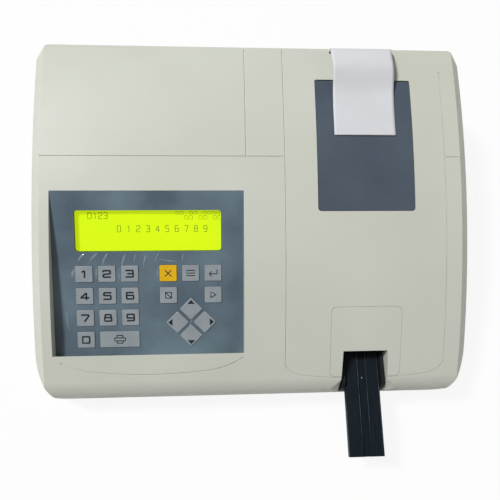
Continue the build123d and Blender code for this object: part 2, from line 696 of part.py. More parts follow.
def bay_cover():
    """Let-in cover behind and beside the notch, following the top."""
    shape = rounded_plan(
        MODULE_X, BAY_FRONT_Y + SEAM * 2, BAY_REAR_Y - SEAM * 2, BAY_WIDTH - SEAM * 4, BAY_CORNER
    )
    skin = plan_prism(shape, PARTING_Z) & (OUTER - side_prism(BAY_SKIN, 0.0))
    plug = rounded_plan(
        MODULE_X, NOTCH_REAR_Y + 2, BAY_REAR_Y - BAY_LEDGE - GAP,
        BAY_WIDTH - 2 * BAY_LEDGE - 2 * GAP, BAY_CORNER / 2,
    )
    rib = plan_prism(plug, PARTING_Z) & (side_prism(BAY_SKIN / 2, 0.0) - side_prism(WALL + 1, 0.0))
    return (skin + rib - plan_prism(notch_plan(0), PARTING_Z)).solid()


def hinge_axis():
    """Y and Z of the hatch's hinge line, half a wall below the top."""
    y = HATCH_REAR_Y - WALL / 2
    return y, top_z(y) - WALL / 2 / math.cos(math.radians(top_slope(y)))


def printer_hatch():
    """Dark hatch: follows the top, its rear edge rounded about the hinge pins."""
    pin_y, pin_z = hinge_axis()
    plan = rounded_plan(MODULE_X, HATCH_FRONT_Y, HATCH_REAR_Y, HATCH_WIDTH, HATCH_CORNER)
    outline = plan_prism(plan, PARTING_Z)
    skin = outline & (side_prism(0, 0.0) - side_prism(WALL, 0.0))
    skin = skin - box_between((-FAR, pin_y, 0), (FAR, FAR, FAR))
    half = HATCH_WIDTH / 2
    edge = rod_x(WALL / 2, MODULE_X - half, MODULE_X + half, pin_y, pin_z) & outline
    reach = half + HATCH_PIN_LENGTH
    pins = rod_x(HATCH_PIN_RADIUS, MODULE_X - reach, MODULE_X + reach, pin_y, pin_z)
    return (skin + edge + pins).solid()


# ------------------------------------------------------------------------------
# Keypad and display pieces
# ------------------------------------------------------------------------------
def keypad_overlay():
    """Printed front sheet with openings for the keys and the display."""
    sheet = on_keypad(
        0, OVERLAY_LENGTH / 2, 0, OVERLAY_THICKNESS,
        RectangleRounded(OVERLAY_WIDTH - 2 * SEAM, OVERLAY_LENGTH - 2 * SEAM, 1.0),
    )
    sheet = sheet - on_keypad(0, DISPLAY_V, -1, 2, display_window(0, DISPLAY_CORNER))
    for name, x, v, width, height, turn in KEYS:
        hole = key_outline(width, height, turn, KEY_FIT, KEY_CORNER)
        sheet = sheet - on_keypad(x, v, -1, 2, hole)
    return sheet


def lcd_surround():
    """Black frame that lines the display opening."""
    outside = on_keypad(
        0, DISPLAY_V, OVERLAY_THICKNESS + SEAM, DISPLAY_DEPTH - 0.8,
        display_window(SURROUND_WALL - SEAM, DISPLAY_CORNER),
    )
    return outside - on_keypad(0, DISPLAY_V, 0, DISPLAY_DEPTH + 1, display_window(0, DISPLAY_CORNER))


def lcd_bezel():
    """Sheet-metal frame of the display module."""
    top = DISPLAY_DEPTH - 0.8
    back = top + 7.0
    outside = on_keypad(0, DISPLAY_V, top, back, display_window(BEZEL_RIM, 1.0))
    window = on_keypad(0, DISPLAY_V, top - 1, back, display_window(0, DISPLAY_CORNER))
    hollow = on_keypad(0, DISPLAY_V, DISPLAY_DEPTH, back, display_window(BEZEL_RIM - 0.8, 0.5))
    return outside - window - hollow


def lcd_glass():
    """Display glass with its backlight."""
    return on_keypad(
        0, DISPLAY_V, DISPLAY_DEPTH, DISPLAY_DEPTH + 6.1, display_window(BEZEL_RIM - 1.0, 0.5)
    )


def lcd_board():
    """Circuit board behind the display."""
    top = DISPLAY_DEPTH + 6.2
    return on_keypad(
        0, DISPLAY_V, top, top + BOARD_THICKNESS, Rectangle(LCD_BOARD_WIDTH, LCD_BOARD_HEIGHT)
    )


def keypad_board():
    """Board under the keys, screwed to the keypad floor on spacers."""
    middle = (KEYPAD_BOARD_TOP_V + KEYPAD_BOARD_BOTTOM_V) / 2
    length = KEYPAD_BOARD_BOTTOM_V - KEYPAD_BOARD_TOP_V
    board = on_keypad(
        0, middle, BOARD_FACE, BOARD_FACE + BOARD_THICKNESS, Rectangle(KEYPAD_BOARD_WIDTH, length)
    )
    for x in (-KEYPAD_BOARD_WIDTH / 2 + 3, 0, KEYPAD_BOARD_WIDTH / 2 - 3):
        for v in (KEYPAD_BOARD_TOP_V + 30, KEYPAD_BOARD_BOTTOM_V - 3):
            board = board + on_keypad(x, v, FLOOR_BACK + SEAM, BOARD_FACE, Circle(2.0))
    return board


def dome_switches():
    """One snap dome under each key."""
    domes = []
    for name, x, v, width, height, turn in KEYS:
        disc = on_keypad(x, v, DOME_TOP, BOARD_FACE, Circle(DOME_RADIUS))
        domes.append(disc)
    return Compound([d.solid() for d in domes])


# ------------------------------------------------------------------------------
# Strip tray, guide and drive
# ------------------------------------------------------------------------------
RACK_TIP_Z = TRAY_BOTTOM_Z - RACK_DEPTH
DRIVE_PITCH_R = DRIVE_MODULE * DRIVE_TEETH / 2
DRIVE_Z = RACK_TIP_Z + 0.9 * DRIVE_MODULE - DRIVE_PITCH_R
GUIDE_INNER = TRAY_WIDTH / 2 + GAP
GUIDE_OUTER = GUIDE_INNER + GUIDE_WALL


def strip_tray():
    """Black tray with a strip channel between two ridges, and a rack below."""
    half = TRAY_WIDTH / 2
    body = box_between(
        (MODULE_X - half, TRAY_TIP_Y, TRAY_BOTTOM_Z), (MODULE_X + half, TRAY_END_Y, TRAY_TOP_Z)
    )
    body = chamfer(body.edges().filter_by(Axis.Y).sort_by(Axis.Z)[-2:], 0.8)
    ridge_x = CHANNEL_WIDTH / 2 + RIDGE_WIDTH / 2
    for side in (-1, 1):
        x = MODULE_X + side * ridge_x
        body = body + box_between(
            (x - RIDGE_WIDTH / 2, TRAY_TIP_Y, TRAY_TOP_Z - 1),
            (x + RIDGE_WIDTH / 2, TRAY_END_Y, TRAY_TOP_Z + RIDGE_HEIGHT),
        )
    body = body - box_between(
        (MODULE_X - CHANNEL_WIDTH / 2, TRAY_TIP_Y - 1, TRAY_TOP_Z - CHANNEL_DEPTH),
        (MODULE_X + CHANNEL_WIDTH / 2, TRAY_END_Y - PAD_END / 2, TRAY_TOP_Z + 5),
    )
    pad_y = TRAY_END_Y - PAD_END - PAD_LENGTH / 2
    body = body - Pos(MODULE_X, pad_y, TRAY_TOP_Z - CHANNEL_DEPTH) * Box(
        CHANNEL_WIDTH - 1, PAD_LENGTH, 2 * PAD_THICKNESS
    )
    rack = rack_bar(MODULE_X, TRAY_END_Y - RACK_LENGTH, TRAY_END_Y, TRAY_BOTTOM_Z, DRIVE_Y)
    return (body + rack).solid()


def white_reference():
    """White calibration tile let into the tray's inner end."""
    pad_y = TRAY_END_Y - PAD_END - PAD_LENGTH / 2
    z = TRAY_TOP_Z - CHANNEL_DEPTH - PAD_THICKNESS / 2
    return Pos(MODULE_X, pad_y, z) * Box(CHANNEL_WIDTH - 1.2, PAD_LENGTH - 0.2, PAD_THICKNESS)


def tray_guide():
    """Channel that carries the tray, on four legs, with a window for the pinion."""
    low, high = GUIDE_FRONT_Y, GUIDE_REAR_Y
    floor_top = GUIDE_FLOOR_Z + GUIDE_FLOOR
    guide = box_between(
        (MODULE_X - GUIDE_OUTER, low, GUIDE_FLOOR_Z), (MODULE_X + GUIDE_OUTER, high, TRAY_TOP_Z)
    )
    guide = guide - box_between(
        (MODULE_X - GUIDE_INNER, low - 1, floor_top), (MODULE_X + GUIDE_INNER, high + 1, FAR)
    )
    for side in (-1, 1):
        inner = GUIDE_INNER - GUIDE_LEDGE
        xs = sorted((MODULE_X + side * inner, MODULE_X + side * (GUIDE_INNER + 0.5)))
        guide = guide + box_between((xs[0], low, GUIDE_FLOOR_Z), (xs[1], high, TRAY_BOTTOM_Z - GAP))
        outer = MODULE_X + side * GUIDE_OUTER
        xs = sorted((outer, outer - side * RAIL_WIDTH))
        guide = guide + box_between(
            (xs[0], low, TRAY_TOP_Z - 1), (xs[1], NOTCH_REAR_Y + 6, TRAY_TOP_Z + RAIL_RISE)
        )
    guide = guide & side_prism(0.8, 0.0)
    window = DRIVE_PITCH_R + 3
    guide = guide - box_between(
        (MODULE_X - DRIVE_WIDTH, DRIVE_Y - window, GUIDE_FLOOR_Z - 1),
        (MODULE_X + DRIVE_WIDTH, DRIVE_Y + window, floor_top + 1),
    )
    legs = []
    for side in (-1, 1):
        for y in (low + LEG_WIDTH, high - LEG_WIDTH):
            x = MODULE_X + side * (GUIDE_OUTER - LEG_WIDTH / 2)
            legs.append(box_between(
                (x - LEG_WIDTH / 2, y - LEG_WIDTH / 2, FLOOR_Z + WALL),
                (x + LEG_WIDTH / 2, y + LEG_WIDTH / 2, GUIDE_FLOOR_Z + 0.5),
            ))
    for leg in legs:
        guide = guide + leg
    plate_x = MODULE_X + GUIDE_OUTER
    plate_reach = MOTOR_SIZE / 2
    plate = box_between(
        (plate_x - 1, DRIVE_Y - plate_reach, FLOOR_Z + WALL),
        (plate_x + 2, DRIVE_Y + plate_reach, TRAY_TOP_Z),
    )
    guide = guide + plate
    return (guide - rod_x(DRIVE_SHAFT + 3, plate_x - 5, plate_x + 5, DRIVE_Y, DRIVE_Z)).solid()


def drive_pinion():
    """Pinion and shaft that drive the tray's rack."""
    gear = gear_x(DRIVE_MODULE, DRIVE_TEETH, 90, DRIVE_WIDTH, MODULE_X, DRIVE_Y, DRIVE_Z)
    end = MODULE_X + GUIDE_OUTER + 2 + MOTOR_LENGTH - 4
    shaft = rod_x(DRIVE_SHAFT, MODULE_X - DRIVE_WIDTH / 2, end, DRIVE_Y, DRIVE_Z)
    return (gear + shaft).solid()


def tray_motor():
    """Stepper motor beside the guide."""
    start = MODULE_X + GUIDE_OUTER + 2 + SEAM
    half = MOTOR_SIZE / 2
    case = box_between(
        (start, DRIVE_Y - half, DRIVE_Z - half), (start + MOTOR_LENGTH, DRIVE_Y + half, DRIVE_Z + half)
    )
    case = chamfer(case.edges().filter_by(Axis.X), 3.5)
    bore = rod_x(DRIVE_SHAFT + GAP, start - 1, start + MOTOR_LENGTH - 3, DRIVE_Y, DRIVE_Z)
    return case - bore


def optical_head():
    """Reading head that bridges the tray, with a bore for the lens."""
    front = HEAD_REAR_Y - HEAD_LENGTH
    base = TRAY_TOP_Z + SEAM
    under = TRAY_TOP_Z + HEAD_LIFT
    block = box_between(
        (MODULE_X - GUIDE_OUTER, front, base), (MODULE_X + GUIDE_OUTER, HEAD_REAR_Y, base + HEAD_HEIGHT)
    )
    block = chamfer(block.edges().filter_by(Axis.Y).sort_by(Axis.Z)[-2:], 3)
    block = block - box_between(
        (MODULE_X - GUIDE_INNER, front - 1, base - 1), (MODULE_X + GUIDE_INNER, HEAD_REAR_Y + 1, under)
    )
    middle_y = HEAD_REAR_Y - HEAD_LENGTH / 2
    return block - Pos(MODULE_X, middle_y, under) * Cylinder(LENS_RADIUS + SEAM, 2 * LENS_LENGTH)


def reading_lens():
    """Lens barrel in the reading head."""
    z = TRAY_TOP_Z + HEAD_LIFT + LENS_LENGTH / 2 + 1
    middle_y = HEAD_REAR_Y - HEAD_LENGTH / 2
    barrel = Pos(MODULE_X, middle_y, z) * Cylinder(LENS_RADIUS, LENS_LENGTH - 2.2)
    return fillet(barrel.edges().sort_by(Axis.Z)[0], 1.5)


# ------------------------------------------------------------------------------
# Printer
# ------------------------------------------------------------------------------
FEED_DISTANCE = FEED_MODULE * (PLATEN_TEETH + FEED_TEETH) / 2
FEED_Z = PLATEN_Z - FEED_DISTANCE
PLATE_INNER = PAPER_WIDTH / 2 + 1.5
PLATE_OUTER = PLATE_INNER + SIDE_PLATE
GEAR_X = MODULE_X + PLATE_OUTER + GAP + FEED_WIDTH / 2
WELL_REAR_Y = HATCH_REAR_Y + 2


def paper_well():
    """Tub under the hatch with a flange, and a cradle for the roll's spindle."""
    outer = WELL_INNER_HALF + WELL_WALL
    front = HATCH_FRONT_Y + 2
    rear = WELL_REAR_Y
    under_top = side_prism(WALL + SEAM * 2, 0.0)
    tub = box_between(
        (MODULE_X - outer, front - WELL_WALL, WELL_FLOOR_Z), (MODULE_X + outer, rear + WELL_WALL, FAR)
    ) & under_top
    flange = box_between(
        (MODULE_X - outer - WELL_FLANGE, front - WELL_WALL - WELL_FLANGE, WELL_FLOOR_Z),
        (MODULE_X + outer + WELL_FLANGE, rear + WELL_WALL + WELL_FLANGE, FAR),
    ) & (under_top - side_prism(WALL + SEAM * 2 + WELL_WALL, 0.0))
    inside = box_between(
        (MODULE_X - WELL_INNER_HALF, front, WELL_FLOOR_Z + WELL_WALL),
        (MODULE_X + WELL_INNER_HALF, rear, FAR),
    )
    tub = tub + flange - inside
    for side in (-1, 1):
        xs = sorted((MODULE_X + side * CRADLE_HALF, MODULE_X + side * (CRADLE_HALF + CRADLE_WALL)))
        tub = tub + box_between(
            (xs[0], ROLL_Y - 14, WELL_FLOOR_Z + 1), (xs[1], ROLL_Y + 14, ROLL_Z + 8)
        )
    seat = SPINDLE_END_RADIUS + GAP
    tub = tub - rod_x(seat, MODULE_X - WELL_INNER_HALF, MODULE_X + WELL_INNER_HALF, ROLL_Y, ROLL_Z)
    tub = tub - box_between(
        (MODULE_X - WELL_INNER_HALF, ROLL_Y - seat, ROLL_Z),
        (MODULE_X + WELL_INNER_HALF, ROLL_Y + seat, ROLL_Z + 20),
    )
    way_z = paper_line_z(rear + WELL_WALL / 2)
    way = Pos(MODULE_X, rear + WELL_WALL / 2, way_z) * Box(PAPER_WIDTH + 4, 3 * WELL_WALL, 9)
    return (tub - way).solid()


def paper_run():
    """Lower tangent from the roll to the platen: its angle and two end points."""
    roll_r = ROLL_RADIUS + GAP
    platen_r = PLATEN_RADIUS + GAP + PAPER_THICKNESS / 2
    dy, dz = PLATEN_Y - ROLL_Y, PLATEN_Z - ROLL_Z
    angle = math.atan2(dz, dy) + math.asin((roll_r - platen_r) / math.hypot(dy, dz))
    start = (ROLL_Y + roll_r * math.sin(angle), ROLL_Z - roll_r * math.cos(angle))
    end = (PLATEN_Y + platen_r * math.sin(angle), PLATEN_Z - platen_r * math.cos(angle))
    return angle, start, end


def paper_line_z(y):
    """Height of the paper between the roll and the platen."""
    angle, start, end = paper_run()
    return start[1] + (y - start[0]) * math.tan(angle)


def paper_web():
    """Paper inside the machine: roll to platen, round it and up to the slot."""
    angle, start, end = paper_run()
    platen_r = PLATEN_RADIUS + GAP + PAPER_THICKNESS / 2
    middle_turn = (angle + math.pi / 2) / 2
    middle = (PLATEN_Y + platen_r * math.sin(middle_turn), PLATEN_Z - platen_r * math.cos(middle_turn))
    side = (PLATEN_Y + platen_r, PLATEN_Z)
    bend = (PLATEN_Y + platen_r, FRAME_TOP_Z - 2)
    out = (TAIL_Y, top_z(TAIL_Y) + TAIL_LIFT - GAP)
    first = Line(start, end)
    wrap = ThreePointArc(end, middle, side)
    rest = FilletPolyline(side, bend, out, radius=6)
    return bent_sheet([first, wrap, rest], PAPER_THICKNESS, MODULE_X, PAPER_WIDTH)


def paper_tail():
    """Free paper: out of the slot, over in a low arch, and forward on the hatch."""
    def above(y, lift):
        return (y, top_z(y) + lift)

    arch = [
        (-1.0, 4.0), (2.4, 9.3), (9.9, 12.0), (20.9, 11.3), (31.9, 6.6), (41.9, 2.6),
        (52.9, 1.2), (68.9, 1.0),
    ]
    points = [above(TAIL_Y - forward, lift) for forward, lift in arch]
    line = Spline(above(TAIL_Y, TAIL_LIFT), *points, above(TAIL_END_Y, 1.5))
    return bent_sheet([line], PAPER_THICKNESS, MODULE_X, PAPER_WIDTH)


def paper_roll():
    """Thermal paper roll."""
    roll = rod_x(ROLL_RADIUS, MODULE_X - PAPER_WIDTH / 2, MODULE_X + PAPER_WIDTH / 2, ROLL_Y, ROLL_Z)
    return roll - rod_x(CORE_RADIUS, MODULE_X - FAR, MODULE_X + FAR, ROLL_Y, ROLL_Z)


def roll_spindle():
    """Spindle through the roll's core, resting in the cradle."""
    middle = rod_x(
        CORE_RADIUS - SEAM, MODULE_X - PAPER_WIDTH / 2, MODULE_X + PAPER_WIDTH / 2, ROLL_Y, ROLL_Z
    )
    ends = rod_x(
        SPINDLE_END_RADIUS, MODULE_X - SPINDLE_HALF, MODULE_X + SPINDLE_HALF, ROLL_Y, ROLL_Z
    )
    return (middle + ends).solid()


def print_frame():
    """Folded steel bracket that holds platen, head and motor."""
    low_y = WELL_REAR_Y + WELL_WALL + SEAM
    outer = box_between(
        (MODULE_X - PLATE_OUTER, low_y, FRAME_BOTTOM_Z), (MODULE_X + PLATE_OUTER, FRAME_REAR_Y, FRAME_TOP_Z)
    )
    inside = box_between(
        (MODULE_X - PLATE_INNER, low_y - 1, FRAME_BOTTOM_Z + SIDE_PLATE),
        (MODULE_X + PLATE_INNER, FRAME_REAR_Y + 1, FRAME_TOP_Z + 1),
    )
    frame = outer - inside
    rear_corner = box_between(
        (MODULE_X - FAR, low_y - 1, FRAME_TOP_Z - 8), (MODULE_X + FAR, PLATEN_Y - 8, FAR)
    )
    frame = frame - rear_corner
    wing_x = MODULE_X + PLATE_OUTER
    wing = box_between(
        (wing_x - 0.5, low_y, FRAME_BOTTOM_Z),
        (wing_x + WING_REACH, FRAME_REAR_Y, FRAME_BOTTOM_Z + SIDE_PLATE),
    )
    wing = wing + box_between(
        (wing_x + WING_REACH - SIDE_PLATE, low_y, FRAME_BOTTOM_Z),
        (wing_x + WING_REACH, FRAME_REAR_Y, PLATEN_Z - 3),
    )
    frame = frame + wing
    shaft_hole = rod_x(PLATEN_SHAFT + 0.05, MODULE_X - FAR, MODULE_X + wing_x, PLATEN_Y, PLATEN_Z)
    motor_hole = rod_x(2.0, MODULE_X + PLATE_OUTER + 5, MODULE_X + FAR, PLATEN_Y, FEED_Z)
    return (frame - shaft_hole - motor_hole).solid()


def thermal_head():
    """Print head behind the platen, with its heat sink."""
    face_y = PLATEN_Y + PLATEN_RADIUS + 2 * GAP + PAPER_THICKNESS
    head = box_between(
        (MODULE_X - PLATE_INNER + SEAM, face_y, PLATEN_Z - 9),
        (MODULE_X + PLATE_INNER - SEAM, FRAME_REAR_Y, PLATEN_Z + 7),
    )
    return chamfer(head.edges().filter_by(Axis.X).sort_by(Axis.Y)[:2], 0.8)


def platen_roller():
    """Rubber-covered platen on its shaft."""
    half = PAPER_WIDTH / 2 + 0.5
    rubber = rod_x(PLATEN_RADIUS, MODULE_X - half, MODULE_X + half, PLATEN_Y, PLATEN_Z)
    shaft = rod_x(
        PLATEN_SHAFT, MODULE_X - PLATE_OUTER - 1.5, GEAR_X + FEED_WIDTH / 2 + 0.5, PLATEN_Y, PLATEN_Z
    )
    return (rubber + shaft).solid()


def platen_gear():
    """Gear on the platen's shaft; a tooth points down, to the feed pinion."""
    gear = gear_x(FEED_MODULE, PLATEN_TEETH, -90, FEED_WIDTH, GEAR_X, PLATEN_Y, PLATEN_Z)
    return gear - rod_x(PLATEN_SHAFT + 0.02, GEAR_X - FAR, GEAR_X + FAR, PLATEN_Y, PLATEN_Z)


def feed_pinion():
    """Pinion on the feed motor's shaft; a tooth space points up."""
    turn = 90 + 180 / FEED_TEETH
    gear = gear_x(FEED_MODULE, FEED_TEETH, turn, FEED_WIDTH, GEAR_X, PLATEN_Y, FEED_Z)
    end = MODULE_X + PLATE_OUTER + WING_REACH + 10
    shaft = rod_x(FEED_SHAFT, GEAR_X, end, PLATEN_Y, FEED_Z)
    return (gear + shaft).solid()


def feed_motor():
    """Small stepper motor outside the print frame's wing."""
    start = MODULE_X + PLATE_OUTER + WING_REACH + SEAM
    case = rod_x(FEED_MOTOR_RADIUS, start, start + FEED_MOTOR_LENGTH, PLATEN_Y, FEED_Z)
    return case - rod_x(FEED_SHAFT + GAP, start - 1, start + 12, PLATEN_Y, FEED_Z)


# ------------------------------------------------------------------------------
# Electronics
# ------------------------------------------------------------------------------
def corner_posts(low, high):
    """Post centres near a board's corners."""
    return [
        (x, y)
        for x in (low[0] + POST_IN, high[0] - POST_IN)
        for y in (low[1] + POST_IN, high[1] - POST_IN)
    ]


MAIN_POSTS = corner_posts(MAIN_LOW, MAIN_HIGH)
POWER_POSTS = corner_posts(POWER_LOW, POWER_HIGH)


def circuit_board(low, high):
    """A bare board on its posts."""
    return box_between((low[0], low[1], BOARD_Z), (high[0], high[1], BOARD_Z + BOARD_THICKNESS))


BOARD_TOP_Z = BOARD_Z + BOARD_THICKNESS


def board_components():
    """Chips, sockets and capacitors standing on the two boards."""
    x0, y0 = MAIN_LOW
    px, py = POWER_LOW
    chips = [(30, 30, 24, 24, 3), (62, 30, 14, 20, 3), (84, 30, 14, 20, 3), (30, 62, 18, 8, 4)]
    chips = chips + [(60, 62, 18, 8, 4), (125, 50, 10, 32, 10)]
    sockets = [(*DISPLAY_SOCKET, 40, 9, 9), (*KEYPAD_SOCKET, 30, 9, 9)]
    blocks = [(x0 + x, y0 + y, wide, deep, high) for x, y, wide, deep, high in chips + sockets]
    blocks = blocks + [(px + 118, py + y, 16, 12, 20) for y in (20, 52)]
    solids = [
        Pos(x, y, BOARD_TOP_Z + high / 2) * Box(wide, deep, high)
        for x, y, wide, deep, high in blocks
    ]
    for n in range(3):
        can = Pos(px + 90, py + 16 + 22 * n, BOARD_TOP_Z + 12) * Cylinder(8, 24)
        solids.append(fillet(can.edges().sort_by(Axis.Z)[-1], 1.0))
    return Compound([s.solid() for s in solids])


def transformer():
    """Mains transformer: laminated core and a winding between its limbs."""
    x, y = POWER_LOW[0] + 42, (POWER_LOW[1] + POWER_HIGH[1]) / 2
    base = BOARD_TOP_Z
    core = box_between((x - 29, y - 12, base), (x + 29, y + 12, base + 48))
    for side in (-1, 1):
        xs = sorted((x + side * 9.5, x + side * 19.5))
        core = core - box_between((xs[0], y - 13, base + 10), (xs[1], y + 13, base + 38))
    coil = box_between((x - 19, y - 22, base + 10.5), (x + 19, y + 22, base + 37.5))
    coil = fillet(coil.edges().filter_by(Axis.Z), 5)
    return (core + coil).solid()


def ribbon_cables():
    """Flat cables from the main board up to the display and keypad boards."""
    lcd_back = DISPLAY_DEPTH + 6.2 + BOARD_THICKNESS
    pad_back = BOARD_FACE + BOARD_THICKNESS
    cables = []
    for socket, v, depth in (
        (DISPLAY_SOCKET, DISPLAY_V + 6, lcd_back), (KEYPAD_SOCKET, KEYPAD_BOARD_TOP_V + 10, pad_back),
    ):
        x, board_y = MAIN_LOW[0] + socket[0], MAIN_LOW[1] + socket[1]
        start = (board_y, BOARD_TOP_Z + 9.0)
        end = KEYPAD.from_local_coords((0, -v, -depth - SEAM))
        rise = (board_y, start[1] + 14)
        level = (end.Y + math.sin(SLOPE) * 12, end.Z - math.cos(SLOPE) * 12)
        path = FilletPolyline(start, rise, level, (end.Y, end.Z), radius=5)
        cables.append(bent_sheet([path], 0.9, x, 24))
    return Compound([c.solid() for c in cables])


# ------------------------------------------------------------------------------
# Rear connectors, feet and screws
# ------------------------------------------------------------------------------
def inlet_socket():
    """Mains inlet: flange outside the wall, socket with three blades."""
    flange = Pos(INLET_X, REAR_Y + FLANGE_THICKNESS / 2, REAR_ROW_Z) * Box(
        INLET_WIDTH + 2 * INLET_FLANGE, FLANGE_THICKNESS, INLET_HEIGHT + 2 * INLET_FLANGE
    )
    flange = fillet(flange.edges().filter_by(Axis.Y), 2.0)
    body = box_between(
        (INLET_X - INLET_WIDTH / 2 + SEAM, REAR_Y - INLET_DEPTH, REAR_ROW_Z - INLET_HEIGHT / 2 + SEAM),
        (INLET_X + INLET_WIDTH / 2 - SEAM, REAR_Y + 1, REAR_ROW_Z + INLET_HEIGHT / 2 - SEAM),
    )
    socket = flange + body
    cavity = box_between(
        (INLET_X - INLET_WIDTH / 2 + INLET_WALL, REAR_Y - INLET_DEPTH + 3,
         REAR_ROW_Z - INLET_HEIGHT / 2 + INLET_WALL),
        (INLET_X + INLET_WIDTH / 2 - INLET_WALL, REAR_Y + 10,
         REAR_ROW_Z + INLET_HEIGHT / 2 - INLET_WALL),
    )
    cavity = chamfer(cavity.edges().filter_by(Axis.Y).sort_by(Axis.Z)[-2:], 4)
    socket = socket - cavity
    for x, z in ((-7.0, 3.2), (0.0, 5.2), (7.0, 3.2)):
        socket = socket + Pos(INLET_X + x, REAR_Y - INLET_DEPTH + 10, REAR_ROW_Z + z) * Box(2, 15, 4)
    return socket.solid()


def switch_case():
    """Case of the power switch: a flanged box, open to the rear."""
    flange = Pos(SWITCH_X, REAR_Y + FLANGE_THICKNESS / 2, REAR_ROW_Z) * Box(
        SWITCH_WIDTH + 2 * SWITCH_FLANGE, FLANGE_THICKNESS, SWITCH_HEIGHT + 2 * SWITCH_FLANGE
    )
    body = box_between(
        (SWITCH_X - SWITCH_WIDTH / 2 + SEAM, REAR_Y - SWITCH_DEPTH, REAR_ROW_Z - SWITCH_HEIGHT / 2 + SEAM),
        (SWITCH_X + SWITCH_WIDTH / 2 - SEAM, REAR_Y + 1, REAR_ROW_Z + SWITCH_HEIGHT / 2 - SEAM),
    )
    inside = box_between(
        (SWITCH_X - SWITCH_WIDTH / 2 + 1, REAR_Y - SWITCH_DEPTH + 2, REAR_ROW_Z - SWITCH_HEIGHT / 2 + 1),
        (SWITCH_X + SWITCH_WIDTH / 2 - 1, REAR_Y + 10, REAR_ROW_Z + SWITCH_HEIGHT / 2 - 1),
    )
    case = flange + body - inside
    reach = SWITCH_WIDTH / 2 - 0.25
    return (case - rod_x(0.95, SWITCH_X - reach, SWITCH_X + reach, *rocker_pivot())).solid()


def rocker_pivot():
    """Y and Z of the rocker's pivot."""
    return REAR_Y - 4.0, REAR_ROW_Z


def power_rocker():
    """Rocker key, pressed in at the top, on stub pins."""
    y, z = rocker_pivot()
    half_width = SWITCH_WIDTH / 2 - 1 - GAP
    half = SWITCH_HEIGHT / 2 - 1 - 1.6
    profile = make_face(Polyline(
        (-2.5, -half * 0.5), (4.6, -half), (3.2, 0), (4.6, half), (-2.5, half * 0.5), close=True
    ))
    key = extrude(profile, half_width, both=True)
    pins = extrude(Circle(0.9), half_width + 0.9, both=True)
    turned = Rot(-SWITCH_TILT, 0, 0) * (Plane.YZ * (key + pins))
    return (Pos(SWITCH_X, y, z) * turned).solid()


def data_port():
    """Nine-way data port with its two jack posts."""
    flange = Pos(PORT_X, REAR_Y + 0.5, REAR_ROW_Z) * Box(PORT_WIDTH, 1.0, PORT_HEIGHT)
    points = [(-8.3, 3.9), (8.3, 3.9), (6.8, -3.9), (-6.8, -3.9)]
    shell = extrude(make_face(Polyline(*points, close=True)), 10)
    placed = Pos(PORT_X, REAR_Y + 1.0 + FLANGE_THICKNESS - 1.0, REAR_ROW_Z) * Rot(90, 0, 0) * shell
    port = flange + placed
    for row, count in ((1.4, 5), (-1.4, 4)):
        for n in range(count):
            x = PORT_X + (n - (count - 1) / 2) * 2.76
            port = port - Pos(x, REARMOST_Y, REAR_ROW_Z + row) * Rot(90, 0, 0) * Cylinder(0.55, 8)
    for side in (-1, 1):
        post = extrude(RegularPolygon(2.4, 6), 1.5)
        x = PORT_X + side * 12.5
        port = port + Pos(x, REARMOST_Y, REAR_ROW_Z) * Rot(90, 0, 0) * post
        port = port - Pos(x, REARMOST_Y, REAR_ROW_Z) * Rot(90, 0, 0) * Cylinder(1.3, 6)
    return port.solid()


def rubber_feet():
    """Four round rubber feet, let into the floor."""
    feet = []
    for x, y in foot_places():
        foot = Pos(x, y, (FLOOR_Z + FOOT_SEAT) / 2) * Cylinder(FOOT_RADIUS, FLOOR_Z + FOOT_SEAT)
        feet.append(fillet(foot.edges().sort_by(Axis.Z)[0], 1.5).solid())
    return Compound(feet)


def housing_screws():
    """Screws that hold the two housings together, driven from below."""
    screws = []
    head_z = FLOOR_Z + SCREW_RECESS - SCREW_HEAD_HEIGHT
    for x, y in boss_places():
        head = Pos(x, y, head_z + SCREW_HEAD_HEIGHT / 2) * Cylinder(SCREW_HEAD_RADIUS, SCREW_HEAD_HEIGHT)
        shank = Pos(x, y, head_z + SCREW_LENGTH / 2) * Cylinder(SCREW_RADIUS, SCREW_LENGTH)
        slot = Pos(x, y, head_z) * (Box(SCREW_SLOT, 0.8, 2) + Box(0.8, SCREW_SLOT, 2))
        screws.append((head + shank - slot).solid())
    return Compound(screws)


# ------------------------------------------------------------------------------
# Write every sub-part
# ------------------------------------------------------------------------------
NODES = {
    "upper_housing": upper_housing,
    "lower_housing": lower_housing,
    "bay_cover": bay_cover,
    "printer_hatch": printer_hatch,
    "keypad_overlay": keypad_overlay,
    "lcd_surround": lcd_surround,
    "lcd_bezel": lcd_bezel,
    "lcd_glass": lcd_glass,
    "lcd_board": lcd_board,
    "keypad_board": keypad_board,
    "dome_switches": dome_switches,
    "ribbon_cables": ribbon_cables,
    "strip_tray": strip_tray,
    "white_reference": white_reference,
    "tray_guide": tray_guide,
    "drive_pinion": drive_pinion,
    "tray_motor": tray_motor,
    "optical_head": optical_head,
    "reading_lens": reading_lens,
    "paper_well": paper_well,
    "paper_roll": paper_roll,
    "roll_spindle": roll_spindle,
    "paper_web": paper_web,
    "paper_tail": paper_tail,
    "print_frame": print_frame,
    "thermal_head": thermal_head,
    "platen_roller": platen_roller,
    "platen_gear": platen_gear,
    "feed_pinion": feed_pinion,
    "feed_motor": feed_motor,
    "main_board": lambda: circuit_board(MAIN_LOW, MAIN_HIGH),
    "power_board": lambda: circuit_board(POWER_LOW, POWER_HIGH),
    "board_components": board_components,
    "transformer": transformer,
    "inlet_socket": inlet_socket,
    "switch_case": switch_case,
    "power_rocker": power_rocker,
    "data_port": data_port,
    "rubber_feet": rubber_feet,
    "housing_screws": housing_screws,
}

for node_name, make_node in NODES.items():
    export_node(node_name, make_node())

for key_name, key_x, key_v, key_w, key_h, key_turn in KEYS:
    export_node(key_name, key_cap(key_x, key_v, key_w, key_h, key_turn))
